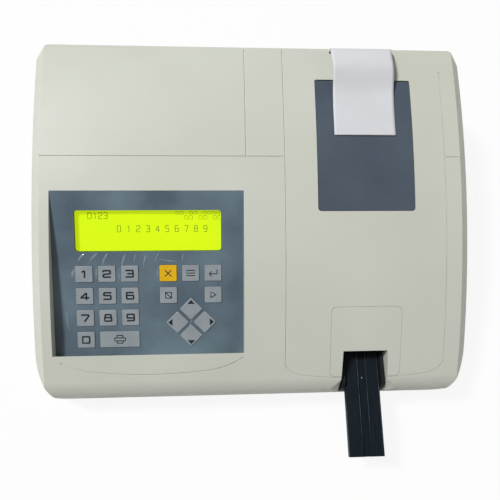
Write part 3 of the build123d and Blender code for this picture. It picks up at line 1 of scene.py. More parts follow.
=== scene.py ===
import json
import math
import random

import bmesh
import bpy
from mathutils import Matrix, Vector


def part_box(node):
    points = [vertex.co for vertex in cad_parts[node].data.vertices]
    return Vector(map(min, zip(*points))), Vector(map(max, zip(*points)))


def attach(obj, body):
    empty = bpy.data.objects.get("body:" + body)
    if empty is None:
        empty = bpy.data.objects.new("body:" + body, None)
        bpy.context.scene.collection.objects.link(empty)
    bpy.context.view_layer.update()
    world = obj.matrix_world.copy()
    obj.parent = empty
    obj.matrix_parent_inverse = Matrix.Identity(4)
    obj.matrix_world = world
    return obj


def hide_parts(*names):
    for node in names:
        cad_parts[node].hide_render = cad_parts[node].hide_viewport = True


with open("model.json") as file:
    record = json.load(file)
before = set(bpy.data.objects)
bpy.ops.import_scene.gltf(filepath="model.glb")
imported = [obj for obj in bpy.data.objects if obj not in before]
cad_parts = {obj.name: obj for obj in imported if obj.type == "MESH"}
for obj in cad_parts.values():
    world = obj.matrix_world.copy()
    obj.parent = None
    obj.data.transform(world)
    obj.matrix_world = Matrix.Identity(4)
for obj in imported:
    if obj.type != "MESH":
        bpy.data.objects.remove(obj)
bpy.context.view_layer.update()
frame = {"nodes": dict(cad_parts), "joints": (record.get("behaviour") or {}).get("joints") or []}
cad = frame["nodes"]
MM = 0.001

# ---------------------------------------------------------------- camera
# The photograph looks almost straight down on the keypad, from a little in front of it
# and left of the tray, as someone standing at the bench holds a camera.
CAMERA_PLACE = Vector((-0.0446, -0.1435, 0.6204))
CAMERA_FORWARD = Vector((0.0730, 0.2576, -0.9635)).normalized()
CAMERA_RIGHT = Vector((0.9973, -0.0264, 0.0685))
LENS = 43.2
SENSOR_WIDTH = 36.0

camera_right = (CAMERA_RIGHT - CAMERA_RIGHT.dot(CAMERA_FORWARD) * CAMERA_FORWARD).normalized()
camera_up = camera_right.cross(CAMERA_FORWARD)
camera_turn = Matrix((camera_right, camera_up, -CAMERA_FORWARD)).transposed()
camera = bpy.data.objects.new("camera", bpy.data.cameras.new("camera"))
camera.data.lens = LENS
camera.data.sensor_width = SENSOR_WIDTH
camera.matrix_world = Matrix.Translation(CAMERA_PLACE) @ camera_turn.to_4x4()
bpy.context.scene.collection.objects.link(camera)
bpy.context.scene.camera = camera
bpy.context.scene.view_settings.view_transform = "Standard"

# ---------------------------------------------------------------- light and floor
# Plain daylight from a window high on the left, with the room filling the shadows; the
# floor is a pale sheet that shows as white and still takes the object's shadow.
WINDOW_PLACE = (-2.50, 1.00, 4.30)
WINDOW_POWER = 210.0
WINDOW_SIZE = 0.75
WINDOW_COLOUR = (0.985, 1.0, 0.995)
FILL_PLACE = (1.3, 0.25, 0.85)
FILL_POWER = 1.8
FILL_SIZE = 1.0
FILL_COLOUR = (1.0, 0.93, 0.80)
ROOM_LIGHT = 0.23
WHITE = (1.0, 1.0, 1.0, 1.0)
FLOOR_REACH = 3.0
FLOOR_GREY = (0.86, 0.86, 0.86, 1.0)
FLOOR_ROUGHNESS = 0.9
FLOOR_SHOWN_WHITE = 0.90


def soft_lamp(name, place, power, size, colour):
    """A square lamp that faces the object."""
    data = bpy.data.lights.new(name, "AREA")
    data.energy = power
    data.size = size
    data.color = colour
    lamp = bpy.data.objects.new(name, data)
    lamp.location = place
    lamp.rotation_euler = (-Vector(place)).to_track_quat("-Z", "Y").to_euler()
    bpy.context.scene.collection.objects.link(lamp)


def whiten_for_camera(tree, lit, white, output, part):
    """Show the camera alone a part of plain white in place of what the lamps light."""
    path = tree.nodes.new("ShaderNodeLightPath")
    share = tree.nodes.new("ShaderNodeMath")
    share.operation = "MULTIPLY"
    share.inputs[1].default_value = part
    mix = tree.nodes.new("ShaderNodeMixShader")
    tree.links.new(path.outputs["Is Camera Ray"], share.inputs[0])
    tree.links.new(share.outputs[0], mix.inputs[0])
    tree.links.new(lit.outputs[0], mix.inputs[1])
    tree.links.new(white.outputs[0], mix.inputs[2])
    tree.links.new(mix.outputs[0], output.inputs["Surface"])


soft_lamp("window", WINDOW_PLACE, WINDOW_POWER, WINDOW_SIZE, WINDOW_COLOUR)
soft_lamp("fill", FILL_PLACE, FILL_POWER, FILL_SIZE, FILL_COLOUR)

world = bpy.data.worlds.new("room")
world.use_nodes = True
room = world.node_tree
room_glow = room.nodes["Background"]
room_glow.inputs["Color"].default_value = WHITE
room_glow.inputs["Strength"].default_value = ROOM_LIGHT
room_white = room.nodes.new("ShaderNodeBackground")
room_white.inputs["Color"].default_value = WHITE
whiten_for_camera(room, room_glow, room_white, room.nodes["World Output"], 1.0)
bpy.context.scene.world = world

floor_mesh = bpy.data.meshes.new("floor")
floor_corners = [(x * FLOOR_REACH, y * FLOOR_REACH, 0) for x, y in ((-1, -1), (1, -1), (1, 1), (-1, 1))]
floor_mesh.from_pydata(floor_corners, [], [(0, 1, 2, 3)])
floor = bpy.data.objects.new("floor", floor_mesh)
bpy.context.scene.collection.objects.link(floor)
floor_paint = bpy.data.materials.new("floor_sheet")
floor_paint.use_nodes = True
sheet = floor_paint.node_tree
sheet_surface = sheet.nodes["Principled BSDF"]
sheet_surface.inputs["Base Color"].default_value = FLOOR_GREY
sheet_surface.inputs["Roughness"].default_value = FLOOR_ROUGHNESS
sheet_white = sheet.nodes.new("ShaderNodeEmission")
sheet_white.inputs["Color"].default_value = WHITE
whiten_for_camera(sheet, sheet_surface, sheet_white, sheet.nodes["Material Output"], FLOOR_SHOWN_WHITE)
floor_mesh.materials.append(floor_paint)

# ---------------------------------------------------------------- housings
# The upper and lower housings and the bay cover are moulded in one warm off-white
# plastic with a fine spark texture, slightly yellowed in patches by age and handling.
SHELL_LIGHT = (0.640, 0.652, 0.580)
SHELL_SHADE = (0.605, 0.612, 0.535)
PATCH_EDGES = (0.35, 0.65)
PATCH_DETAIL = 4.0
GRAIN_DETAIL = 3.0
GRAIN_STRENGTH = 0.5
GRAIN_GLOSS = 0.06
COAT_ROUGHNESS = 0.08


def new_finish(name):
    """A material, its node tree, its surface and the piece's own coordinates."""
    material = bpy.data.materials.new(name)
    material.use_nodes = True
    tree = material.node_tree
    place = tree.nodes.new("ShaderNodeTexCoord").outputs["Object"]
    return material, tree, tree.nodes["Principled BSDF"], place


def cloudy(tree, place, scale, detail):
    """A cloudy pattern laid on a piece."""
    noise = tree.nodes.new("ShaderNodeTexNoise")
    noise.inputs["Scale"].default_value = scale
    noise.inputs["Detail"].default_value = detail
    tree.links.new(place, noise.inputs["Vector"])
    return noise.outputs["Fac"]


def two_tones(tree, surface, pattern, shade, light, edges):
    """Colour a surface from shade to light as a pattern rises."""
    tone = tree.nodes.new("ShaderNodeValToRGB")
    for stop, edge, colour in zip(tone.color_ramp.elements, edges, (shade, light)):
        stop.position = edge
        stop.color = (*colour, 1)
    tree.links.new(pattern, tone.inputs["Fac"])
    tree.links.new(tone.outputs["Color"], surface.inputs["Base Color"])


def fine_relief(tree, surface, pattern, strength, depth, smoothest, roughest):
    """Raise a surface by a pattern, and let its roughness follow."""
    bump = tree.nodes.new("ShaderNodeBump")
    bump.inputs["Strength"].default_value = strength
    bump.inputs["Distance"].default_value = depth * MM
    gloss = tree.nodes.new("ShaderNodeMapRange")
    gloss.inputs["To Min"].default_value = smoothest
    gloss.inputs["To Max"].default_value = roughest
    tree.links.new(pattern, bump.inputs["Height"])
    tree.links.new(bump.outputs["Normal"], surface.inputs["Normal"])
    tree.links.new(pattern, gloss.inputs["Value"])
    tree.links.new(gloss.outputs["Result"], surface.inputs["Roughness"])


def moulded_plastic(name, light, shade, grain=900.0, depth=0.05, roughness=0.5, patches=9.0, coat=0.0,
                    shine=0.5):
    """Moulded plastic: two close tones in soft patches, and a fine grain, its depth in mm."""
    material, tree, surface, place = new_finish(name)
    surface.inputs["Specular IOR Level"].default_value = shine
    surface.inputs["Coat Weight"].default_value = coat
    surface.inputs["Coat Roughness"].default_value = COAT_ROUGHNESS
    two_tones(tree, surface, cloudy(tree, place, patches, PATCH_DETAIL), shade, light, PATCH_EDGES)
    speck = cloudy(tree, place, grain, GRAIN_DETAIL)
    fine_relief(tree, surface, speck, GRAIN_STRENGTH, depth, roughness - GRAIN_GLOSS, roughness + GRAIN_GLOSS)
    return material


def finish_nodes(material, *names):
    """Give CAD nodes their material."""
    for name in names:
        cad[name].data.materials.clear()
        cad[name].data.materials.append(material)


shell_plastic = moulded_plastic("shell_plastic", SHELL_LIGHT, SHELL_SHADE, roughness=0.48)
finish_nodes(shell_plastic, "upper_housing", "lower_housing", "bay_cover")

# ---------------------------------------------------------------- keypad overlay
# A blue-grey printed polyester sheet, still under the clear film it was delivered with:
# the film is loose, so the face is glossy and lies in long shallow waves.
OVERLAY_LIGHT = (0.145, 0.208, 0.256)
OVERLAY_SHADE = (0.080, 0.118, 0.156)
WAVE_SCALE = 34.0
WAVE_DEPTH = 0.60

press_axis = Vector(next(j["axis"] for j in frame["joints"] if j["name"] == "key_1_press"))
face_normal = -press_axis.normalized()
face_right = Vector((1, 0, 0))
face_up = face_normal.cross(face_right)
face_turn = Matrix((face_right, face_up, face_normal)).transposed().to_4x4()

overlay_sheet = moulded_plastic(
    "overlay_sheet", OVERLAY_LIGHT, OVERLAY_SHADE, grain=WAVE_SCALE, depth=WAVE_DEPTH,
    roughness=0.30, patches=18.0, coat=0.8,
)
finish_nodes(overlay_sheet, "keypad_overlay")

# The film has pulled into short creases below the display, and stands off the left edges
# of the upper keys, where it runs down over the caps. Each crease is a low ridge: its middle
# across and up the face from the middle of the sheet's top edge, its length, its heading in
# degrees and its width, in mm.
CREASES = [
    (-59.6, -59.4, 9.0, 50, 2.4), (-49.2, -60.6, 14.0, 52, 2.8), (-38.7, -61.2, 13.6, 66, 2.5),
    (-22.0, -61.6, 13.0, 71, 2.3), (-12.1, -60.9, 9.5, 75, 1.7), (-3.3, -63.4, 15.0, 80, 2.0),
    (7.4, -60.0, 9.0, 63, 2.2), (17.0, -62.6, 20.0, 172, 1.3), (30.7, -60.2, 8.0, 84, 1.6),
    (-67.0, -74.0, 10.0, 77, 3.2), (-46.4, -74.3, 13.0, 88, 1.5), (-26.0, -74.3, 13.0, 88, 1.5),
    (8.4, -73.0, 12.0, 79, 1.6), (38.0, -120.0, 14.0, 64, 1.0), (-73.0, -118.0, 22.0, 96, 1.4),
]
CREASE_HEIGHT = 0.45
CREASE_BOW = 0.03
CREASE_TAPER = 0.8
CREASE_TIP = 0.15
CREASE_STEPS = 14
CREASE_RIBS = 6
# The creases are coloured much lighter than the sheet beneath them: painted highlight standing in for the
# light the creased film catches.
FILM_HIGHLIGHT_LIGHT = (0.40, 0.47, 0.52)
FILM_HIGHLIGHT_SHADE = (0.22, 0.28, 0.33)
FILM_DENSITY = 0.65


def join_rows(shape, rows, around=True, capped=False):
    """Add faces between rows of vertices; around closes each row, capped the first and last."""
    for before, after in zip(rows, rows[1:]):
        count = len(before)
        for n in range(count if around else count - 1):
            m = (n + 1) % count
            shape.faces.new((before[n], before[m], after[m], after[n]))
    if capped:
        shape.faces.new(rows[0][::-1])
        shape.faces.new(rows[-1])


def finished_mesh(name, shape):
    """Turn a mesh being built into mesh data, faces outwards."""
    bmesh.ops.recalc_face_normals(shape, faces=shape.faces)
    mesh = bpy.data.meshes.new(name)
    shape.to_mesh(mesh)
    shape.free()
    return mesh


def new_piece(name, mesh, material, body):
    """Link a mesh whose place is already in its vertices, and let it ride."""
    piece = bpy.data.objects.new(name, mesh)
    bpy.context.scene.collection.objects.link(piece)
    mesh.materials.clear()
    mesh.materials.append(material)
    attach(piece, body)
    return piece


def crease_ridge(shape, place, across, up, length, turn, width):
    """Add one tapering ridge to a mesh being built."""
    heading = math.radians(turn)
    rings = []
    for step in range(CREASE_STEPS + 1):
        t = step / CREASE_STEPS
        taper = math.sin(math.pi * t) ** CREASE_TAPER
        bow = CREASE_BOW * length * math.sin(math.pi * t)
        run = (t - 0.5) * length
        x = across + run * math.cos(heading) - bow * math.sin(heading)
        y = up + run * math.sin(heading) + bow * math.cos(heading)
        ring = []
        for rib in range(CREASE_RIBS + 1):
            share = rib / CREASE_RIBS - 0.5
            side = share * width * (CREASE_TIP + (1 - CREASE_TIP) * taper)
            rise = CREASE_HEIGHT * taper * math.cos(math.pi * share)
            point = Vector((x - side * math.sin(heading), y + side * math.cos(heading), rise))
            ring.append(shape.verts.new(place @ (point * MM)))
        rings.append(ring)
    join_rows(shape, rings)


overlay_low, overlay_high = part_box("keypad_overlay")
overlay_edge = Vector(((overlay_low.x + overlay_high.x) / 2, overlay_high.y, overlay_high.z))
overlay_top = Matrix.Translation(overlay_edge) @ face_turn
crease_shape = bmesh.new()
for crease in CREASES:
    crease_ridge(crease_shape, overlay_top, *crease)
crease_mesh = finished_mesh("film_crease_highlights", crease_shape)
crease_mesh.shade_smooth()
# The crease film's light blue-grey is painted highlight; the ridges under it are real shape.
highlit_film = moulded_plastic("clear_film_highlight", FILM_HIGHLIGHT_LIGHT, FILM_HIGHLIGHT_SHADE, grain=260.0, depth=0.05, roughness=0.24,
                       patches=110.0, coat=1.0)
highlit_film.node_tree.nodes["Principled BSDF"].inputs["Alpha"].default_value = FILM_DENSITY
new_piece("film_crease_highlights", crease_mesh, highlit_film, "housing")

# ---------------------------------------------------------------- display
# A yellow-green backlit liquid-crystal panel behind its window, framed by a thin black
# surround and held to its board by a bezel folded from plated sheet.
DISPLAY_BRIGHT = (0.34, 0.46, 0.004)
DISPLAY_EDGE = (0.30, 0.42, 0.003)
DISPLAY_GLOW = 0.60
DISPLAY_GLOW_COLOUR = (0.75, 1.0, 0.01, 1.0)

display_glass = moulded_plastic("display_glass", DISPLAY_BRIGHT, DISPLAY_EDGE, grain=2500.0, depth=0.004,
                                roughness=0.30, patches=20.0, shine=0.15)
display_surface = display_glass.node_tree.nodes["Principled BSDF"]
display_surface.inputs["Emission Color"].default_value = DISPLAY_GLOW_COLOUR
display_surface.inputs["Emission Strength"].default_value = DISPLAY_GLOW
finish_nodes(display_glass, "lcd_glass")

surround_black = moulded_plastic("surround_black", (0.005, 0.005, 0.006), (0.003, 0.003, 0.004),
                                 grain=1400.0, roughness=0.6, shine=0.1)
finish_nodes(surround_black, "lcd_surround")

STREAK_EDGES = (0.3, 0.7)
STREAK_DETAIL = 5.0
STREAK_STRENGTH = 0.25
STREAK_DEPTH = 0.02


def brushed_metal(name, light, shade, stretch=(1.0, 40.0, 40.0), roughness=0.32, scale=60.0):
    """Plated or brushed metal: fine streaks along one axis."""
    material, tree, surface, place = new_finish(name)
    surface.inputs["Metallic"].default_value = 1.0
    spread = tree.nodes.new("ShaderNodeMapping")
    spread.inputs["Scale"].default_value = stretch
    tree.links.new(place, spread.inputs["Vector"])
    streak = cloudy(tree, spread.outputs["Vector"], scale, STREAK_DETAIL)
    two_tones(tree, surface, streak, shade, light, STREAK_EDGES)
    fine_relief(tree, surface, streak, STREAK_STRENGTH, STREAK_DEPTH, roughness - 0.08, roughness + 0.12)
    return material


zinc_plate = brushed_metal("zinc_plate", (0.66, 0.67, 0.68), (0.48, 0.49, 0.50))
finish_nodes(zinc_plate, "lcd_bezel")

# Plain digits shown on the panel and printed on the keys are drawn with a round-cornered
# pen on a grid 4 wide and 6 high, like the stencils of a panel engraver. A line on the panel
# has its place across and up, its digits' height, their pitch in mm, and its digits.
DIGIT_STROKES = {
    "0": [[(0, 0), (4, 0), (4, 6), (0, 6), (0, 0)]],
    "1": [[(1, 5), (2.4, 6), (2.4, 0)]],
    "2": [[(0, 5), (0, 6), (4, 6), (4, 3.2), (0, 2.4), (0, 0), (4, 0)]],
    "3": [[(0, 6), (4, 6), (4, 0), (0, 0)], [(1, 3), (4, 3)]],
    "4": [[(3, 0), (3, 6), (0, 2), (0, 1.6), (4.4, 1.6)]],
    "5": [[(4, 6), (0, 6), (0, 3.4), (4, 3.4), (4, 0), (0, 0)]],
    "6": [[(3.8, 6), (0, 6), (0, 0), (4, 0), (4, 3.4), (0, 3.4)]],
    "7": [[(0, 6), (4, 6), (4, 5), (1.6, 0)]],
    "8": [[(0, 0), (4, 0), (4, 3.2), (0, 3.2), (0, 0)], [(0.3, 3.2), (0.3, 6), (3.7, 6), (3.7, 3.2)]],
    "9": [[(0.2, 0), (4, 0), (4, 6), (0, 6), (0, 2.6), (4, 2.6)]],
    ":": [[(2, 1.5), (2, 1.7)], [(2, 4.3), (2, 4.5)]],
    " ": [],
}
GRID_WIDE = 4
GRID_HIGH = 6
PEN_CORNER = 0.7
PEN_CORNER_STEPS = 4
PEN_OVERRUN = 0.35
INK_THICKNESS = 0.03 * MM
DISPLAY_LINES = [
    (-45.0, 13.3, 5.2, 4.7, "0123"), (44.4, 15.5, 2.5, 4.1, "00:00:0000"), (48.8, 11.5, 3.2, 4.3, "00:00:00"),
    (12.3, 1.4, 5.6, 4.3, "0 1 2 3 4 5 6 7 8 9"),
]
DISPLAY_PEN_SHARE = 0.1
DISPLAY_DIGIT_SHARE = 0.68
DISPLAY_INK_LIFT = 0.02 * MM
DISPLAY_INK_LIGHT = (0.26, 0.34, 0.02)
DISPLAY_INK_SHADE = (0.22, 0.29, 0.02)


def top_vertices(node, direction):
    """The vertices of a CAD node that lie on its face towards a direction."""
    points = [vertex.co for vertex in cad[node].data.vertices]
    reach = max(point.dot(direction) for point in points)
    return [point for point in points if point.dot(direction) > reach - 0.02 * MM]


def face_frame(node, lift):
    """A matrix at the middle of a node's face on the keypad: X right, Y up the slope."""
    points = top_vertices(node, face_normal)
    across = [point.dot(face_right) for point in points]
    along = [point.dot(face_up) for point in points]
    height = points[0].dot(face_normal) + lift
    middle = (
        face_right * (min(across) + max(across)) / 2
        + face_up * (min(along) + max(along)) / 2
        + face_normal * height
    )
    return Matrix.Translation(middle) @ face_turn


def soften(points, radius):
    """Round the corners of a pen stroke."""
    path = [Vector(points[0])]
    for before, corner, after in zip(points, points[1:], points[2:]):
        corner = Vector(corner)
        back = Vector(before) - corner
        onward = Vector(after) - corner
        cut = min(radius, back.length / 2, onward.length / 2)
        start = corner + back.normalized() * cut
        end = corner + onward.normalized() * cut
        for step in range(PEN_CORNER_STEPS + 1):
            t = step / PEN_CORNER_STEPS
            path.append(start * (1 - t) ** 2 + corner * 2 * t * (1 - t) + end * t**2)
    path.append(Vector(points[-1]))
    return path


def pen_edges(path, closed, pen):
    """The two edges of a pen stroke along a path; its free ends run on a little."""
    last = len(path) - 1
    edges = []
    for n, point in enumerate(path):
        before = path[max(n - 1, 0)]
        after = path[min(n + 1, last)]
        if closed and n in (0, last):
            before, after = path[-2], path[1]
        heading = (after - before).normalized()
        side = Vector((-heading.y, heading.x)) * pen / 2
        if not closed and n == 0:
            point = point - heading * pen * PEN_OVERRUN
        if not closed and n == last:
            point = point + heading * pen * PEN_OVERRUN
        edges.append((point + side, point - side))
    return edges


def pen_strokes(shape, strokes, cell, place, pen, radius=PEN_CORNER):
    """Add flat pen strokes, given on a grid of cells, to a mesh being built."""
    wide, high = cell
    for stroke in strokes:
        path = soften([(x * wide, y * high) for x, y in stroke], radius * high)
        rings = []
        for left, right in pen_edges(path, stroke[0] == stroke[-1], pen):
            corners = ((left, INK_THICKNESS), (right, INK_THICKNESS), (right, 0.0), (left, 0.0))
            rings.append([shape.verts.new(place @ Vector((p.x, p.y, rise))) for p, rise in corners])
        join_rows(shape, rings, capped=True)


def digit_row(shape, text, height, pitch, place, pen, width):
    """Write plain digits of a height and width, centred on a place."""
    cell = (width / GRID_WIDE, height / GRID_HIGH)
    start = -(len(text) - 1) * pitch / 2
    for n, mark in enumerate(text):
        spot = place @ Matrix.Translation((start + n * pitch - width / 2, -height / 2, 0))
        pen_strokes(shape, DIGIT_STROKES[mark], cell, spot, pen)


display_face = face_frame("lcd_glass", DISPLAY_INK_LIFT)
display_ink_shape = bmesh.new()
for across, up, height, pitch, text in DISPLAY_LINES:
    spot = display_face @ Matrix.Translation((across * MM, up * MM, 0))
    digit_row(display_ink_shape, text, height * MM, pitch * MM, spot, DISPLAY_PEN_SHARE * height * MM,
              DISPLAY_DIGIT_SHARE * pitch * MM)
display_ink = moulded_plastic("display_ink", DISPLAY_INK_LIGHT, DISPLAY_INK_SHADE, roughness=0.4, shine=0.15)
new_piece("display_digits", finished_mesh("display_digits", display_ink_shape), display_ink, "housing")

# ---------------------------------------------------------------- keys
# Grey moulded caps with softened edges, one of them amber, each printed with a dark digit
# or a plain sign; the four square-set caps point their corners four ways. Each cap stands
# over a snap dome of plated strip.
KEY_LIGHT = (0.330, 0.365, 0.395)
KEY_SHADE = (0.285, 0.318, 0.345)
AMBER_LIGHT = (0.87, 0.52, 0.012)
AMBER_SHADE = (0.80, 0.46, 0.010)
KEY_INK_LIGHT = (0.016, 0.022, 0.034)
KEY_INK_SHADE = (0.012, 0.016, 0.026)
KEY_INK_LIFT = 0.01 * MM
DIGIT_HEIGHT = 5.9 * MM
DIGIT_WIDTH = 6.2 * MM
DIGIT_PEN = 1.5 * MM
SIGN_CELL = (0.9 * MM, 0.9 * MM)
SIGN_PEN = 0.85 * MM
SIGN_CORNER = 0.5
SIGN_STROKES = {
    "clear": [[(-3, -3), (3, 3)], [(-3, 3), (3, -3)]],
    "menu": [[(-4, 2.6), (4, 2.6)], [(-4, 0), (4, 0)], [(-4, -2.6), (4, -2.6)]],
    "enter": [[(4, 3), (4, -1), (-3.6, -1)], [(-1.4, 1.4), (-3.8, -1), (-1.4, -3.4)]],
    "cancel": [[(-3, 3), (3, 3), (3, -3), (-3, -3), (-3, 3)], [(-3, 3), (3, -3)]],
    "start": [[(-2.4, 3), (3, 0), (-2.4, -3), (-2.4, 3)]],
    "print": [
        [(-5.5, -1.6), (-5.5, 1.4), (5.5, 1.4), (5.5, -1.6), (-5.5, -1.6)],
        [(-3, 1.6), (-3, 4), (3, 4), (3, 1.6)], [(-3, -1.6), (-3, -4), (3, -4), (3, -1.6)],
    ],
}
ARROW_TURNS = {"up": 0, "left": 90, "down": 180, "right": 270}
ARROW_TIP = 8.4
ARROW_BASE = 4.6
ARROW_HALF = 3.4

key_plastic = moulded_plastic("key_plastic", KEY_LIGHT, KEY_SHADE, grain=1300.0, depth=0.04,
                              roughness=0.34, patches=60.0, coat=0.6)
amber_plastic = moulded_plastic("amber_plastic", AMBER_LIGHT, AMBER_SHADE, grain=1300.0, depth=0.04,
                                roughness=0.38, patches=60.0, shine=0.25)
key_ink = moulded_plastic("key_ink", KEY_INK_LIGHT, KEY_INK_SHADE, roughness=0.42)
keys = sorted(name for name in cad if name.startswith("key_"))
finish_nodes(key_plastic, *keys)
finish_nodes(amber_plastic, "key_clear")
finish_nodes(zinc_plate, "dome_switches")


def arrow_head(shape, place, turn):
    """A solid triangle near the outer corner of a square-set key."""
    spin = Matrix.Rotation(math.radians(turn), 4, "Z")
    outline = [(0, ARROW_TIP), (-ARROW_HALF, ARROW_BASE), (ARROW_HALF, ARROW_BASE)]
    rows = [
        [shape.verts.new(place @ spin @ Vector((x * MM, y * MM, rise))) for x, y in outline]
        for rise in (0.0, INK_THICKNESS)
    ]
    join_rows(shape, rows, capped=True)


for key in keys:
    sign = key.removeprefix("key_")
    face = face_frame(key, KEY_INK_LIFT)
    legend = bmesh.new()
    if sign in DIGIT_STROKES:
        digit_row(legend, sign, DIGIT_HEIGHT, 0, face, DIGIT_PEN, DIGIT_WIDTH)
    elif sign in SIGN_STROKES:
        pen_strokes(legend, SIGN_STROKES[sign], SIGN_CELL, face, SIGN_PEN, radius=SIGN_CORNER)
    else:
        arrow_head(legend, face, ARROW_TURNS[sign])
    new_piece(f"legend_{sign}", finished_mesh(f"legend_{sign}", legend), key_ink, key)

# ---------------------------------------------------------------- printer hatch
# One dark blue-grey moulding with a fine matt texture. It turns on two pins at its rear
# edge and covers the paper well.
hatch_plastic = moulded_plastic("hatch_plastic", (0.078, 0.103, 0.138), (0.064, 0.085, 0.117),
                                grain=1100.0, depth=0.06, roughness=0.55, patches=25.0, shine=0.35)
finish_nodes(hatch_plastic, "printer_hatch")

# ---------------------------------------------------------------- printer paper
# Thermal paper 57 mm wide: it stands up out of the slot, rolls over in a low arch and
# lies forward on the hatch, leaning to one side and drawn in a little where it was pulled
# askew. Its waves and its curled end are slight.
PAPER_WHITE = (0.74, 0.74, 0.78)
PAPER_SHADE = (0.69, 0.69, 0.73)
PAPER_HALF_THICK = 0.06 * MM
PAPER_COLUMNS = 24
PAPER_ROWS = 90
LEAN = {"most": 1.7 * MM, "at": 0.17, "reach": 0.12}
DRAWN_IN = {"most": 0.6 * MM, "at": 0.30, "reach": 0.12}
PAPER_WAVE = 0.35 * MM
PAPER_WAVES = 1.6
WAVE_GROWTH = 4
END_CURL = 0.5 * MM
END_CURL_FROM = 0.75
TOUCHING = 0.01 * MM

paper_stock = moulded_plastic("paper_stock", PAPER_WHITE, PAPER_SHADE, grain=700.0, depth=0.03,
                              roughness=0.62, patches=16.0)
finish_nodes(paper_stock, "paper_roll", "paper_web")


def sheet_centre_line(node, samples):
    """Follow the middle of a bent sheet from its rear end to its front end."""
    points = [vertex.co for vertex in cad[node].data.vertices]
    side = max(point.x for point in points)
    edge = sorted({(round(p.y, 6), round(p.z, 6)) for p in points if p.x > side - TOUCHING})
    rear = max(y for y, z in edge)
    start = min(edge, key=lambda p: p[1] + abs(p[0] - rear))
    path = [Vector(start)]
    left = [Vector(p) for p in edge if p != start]
    while left:
        nearest = min(left, key=lambda p: (p - path[-1]).length)
        left.remove(nearest)
        path.append(nearest)
    middles = [(a + b) / 2 for a, b in zip(path, path[1:])]
    lengths = [0.0]
    for a, b in zip(middles, middles[1:]):
        lengths.append(lengths[-1] + (b - a).length)
    line = []
    for n in range(samples + 1):
        reach = lengths[-1] * n / samples
        index = max(i for i, value in enumerate(lengths) if value <= reach + 1e-12)
        index = min(index, len(middles) - 2)
        span = max(lengths[index + 1] - lengths[index], 1e-9)
        line.append(middles[index].lerp(middles[index + 1], (reach - lengths[index]) / span))
    return line


def swell(t, most, at, reach):
    """A shift that rises to its most at one share of the sheet's length and dies away."""
    return most * math.exp(-((t - at) / reach) ** 2)


paper_low, paper_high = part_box("paper_tail")
centre_line = sheet_centre_line("paper_tail", PAPER_ROWS)
paper_rows = []
for row, point in enumerate(centre_line):
    t = row / PAPER_ROWS
    before = centre_line[max(row - 1, 0)]
    after = centre_line[min(row + 1, PAPER_ROWS)]
    run = (after - before).normalized()
    out = Vector((run.y, -run.x))
    wave = PAPER_WAVE * math.sin(2 * math.pi * PAPER_WAVES * t) * min(1.0, WAVE_GROWTH * t)
    end_curl = END_CURL * max(0.0, t - END_CURL_FROM)
    line = []
    for column in range(PAPER_COLUMNS + 1):
        u = column / PAPER_COLUMNS
        x = paper_low.x + u * (paper_high.x - paper_low.x) - swell(t, **LEAN) - swell(t, **DRAWN_IN) * u**3
        side = 2 * u - 1
        lifted = point - out * abs(wave * side + end_curl * side**2)
        line.append((x, lifted, out))
    paper_rows.append(line)
paper_shape = bmesh.new()
under, over = (
    [
        [paper_shape.verts.new((x, *(middle - skin * out))) for x, middle, out in line]
        for line in paper_rows
    ]
    for skin in (-PAPER_HALF_THICK, PAPER_HALF_THICK)
)
for skin_rows in (under, over, (under[0], over[0]), (under[-1], over[-1])):
    join_rows(paper_shape, skin_rows, around=False)
for side in (0, PAPER_COLUMNS):
    join_rows(paper_shape, [[row[side] for row in skin] for skin in (under, over)], around=False)
paper_mesh = finished_mesh("printed_paper", paper_shape)
paper_mesh.shade_smooth()
paper_piece = new_piece("printed_paper", paper_mesh, paper_stock, "paper_tail")
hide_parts("paper_tail")

# The roll's ends show the edges of its turns as a fine spiral, grown on a point at each end.
WINDING = {"Turns": 14.0, "Inner Radius": 7.0 * MM, "Outer Radius": 23.2 * MM, "Line Radius": 0.09 * MM}
TURN_STEPS = 40
THREAD_SIDES = 6


def growth_tree(name, sizes, make_part, material):
    """A tree that sets one part on every seed point; its sizes are named inputs."""
    tree = bpy.data.node_groups.new(name, "GeometryNodeTree")
    tree.interface.new_socket("Geometry", in_out="INPUT", socket_type="NodeSocketGeometry")
    for label, value in sizes.items():
        kind = "NodeSocketFloat" if isinstance(value, float) else "NodeSocketVector"
        tree.interface.new_socket(label, in_out="INPUT", socket_type=kind)
    tree.interface.new_socket("Geometry", in_out="OUTPUT", socket_type="NodeSocketGeometry")
    start = tree.nodes.new("NodeGroupInput")
    turn = tree.nodes.new("GeometryNodeInputNamedAttribute")
    turn.inputs["Name"].default_value = "turn"
    angles = tree.nodes.new("ShaderNodeCombineXYZ")
    facing = tree.nodes.new("FunctionNodeEulerToRotation")
    place = tree.nodes.new("GeometryNodeInstanceOnPoints")
    whole = tree.nodes.new("GeometryNodeRealizeInstances")
    finish = tree.nodes.new("GeometryNodeSetMaterial")
    finish.inputs["Material"].default_value = material
    end = tree.nodes.new("NodeGroupOutput")
    tree.links.new(turn.outputs["Attribute"], angles.inputs["Z"])
    tree.links.new(angles.outputs["Vector"], facing.inputs["Euler"])
    tree.links.new(start.outputs["Geometry"], place.inputs["Points"])
    tree.links.new(make_part(tree, start), place.inputs["Instance"])
    tree.links.new(facing.outputs["Rotation"], place.inputs["Rotation"])
    tree.links.new(place.outputs["Instances"], whole.inputs["Geometry"])
    tree.links.new(whole.outputs["Geometry"], finish.inputs["Geometry"])
    tree.links.new(finish.outputs["Geometry"], end.inputs["Geometry"])
    return tree


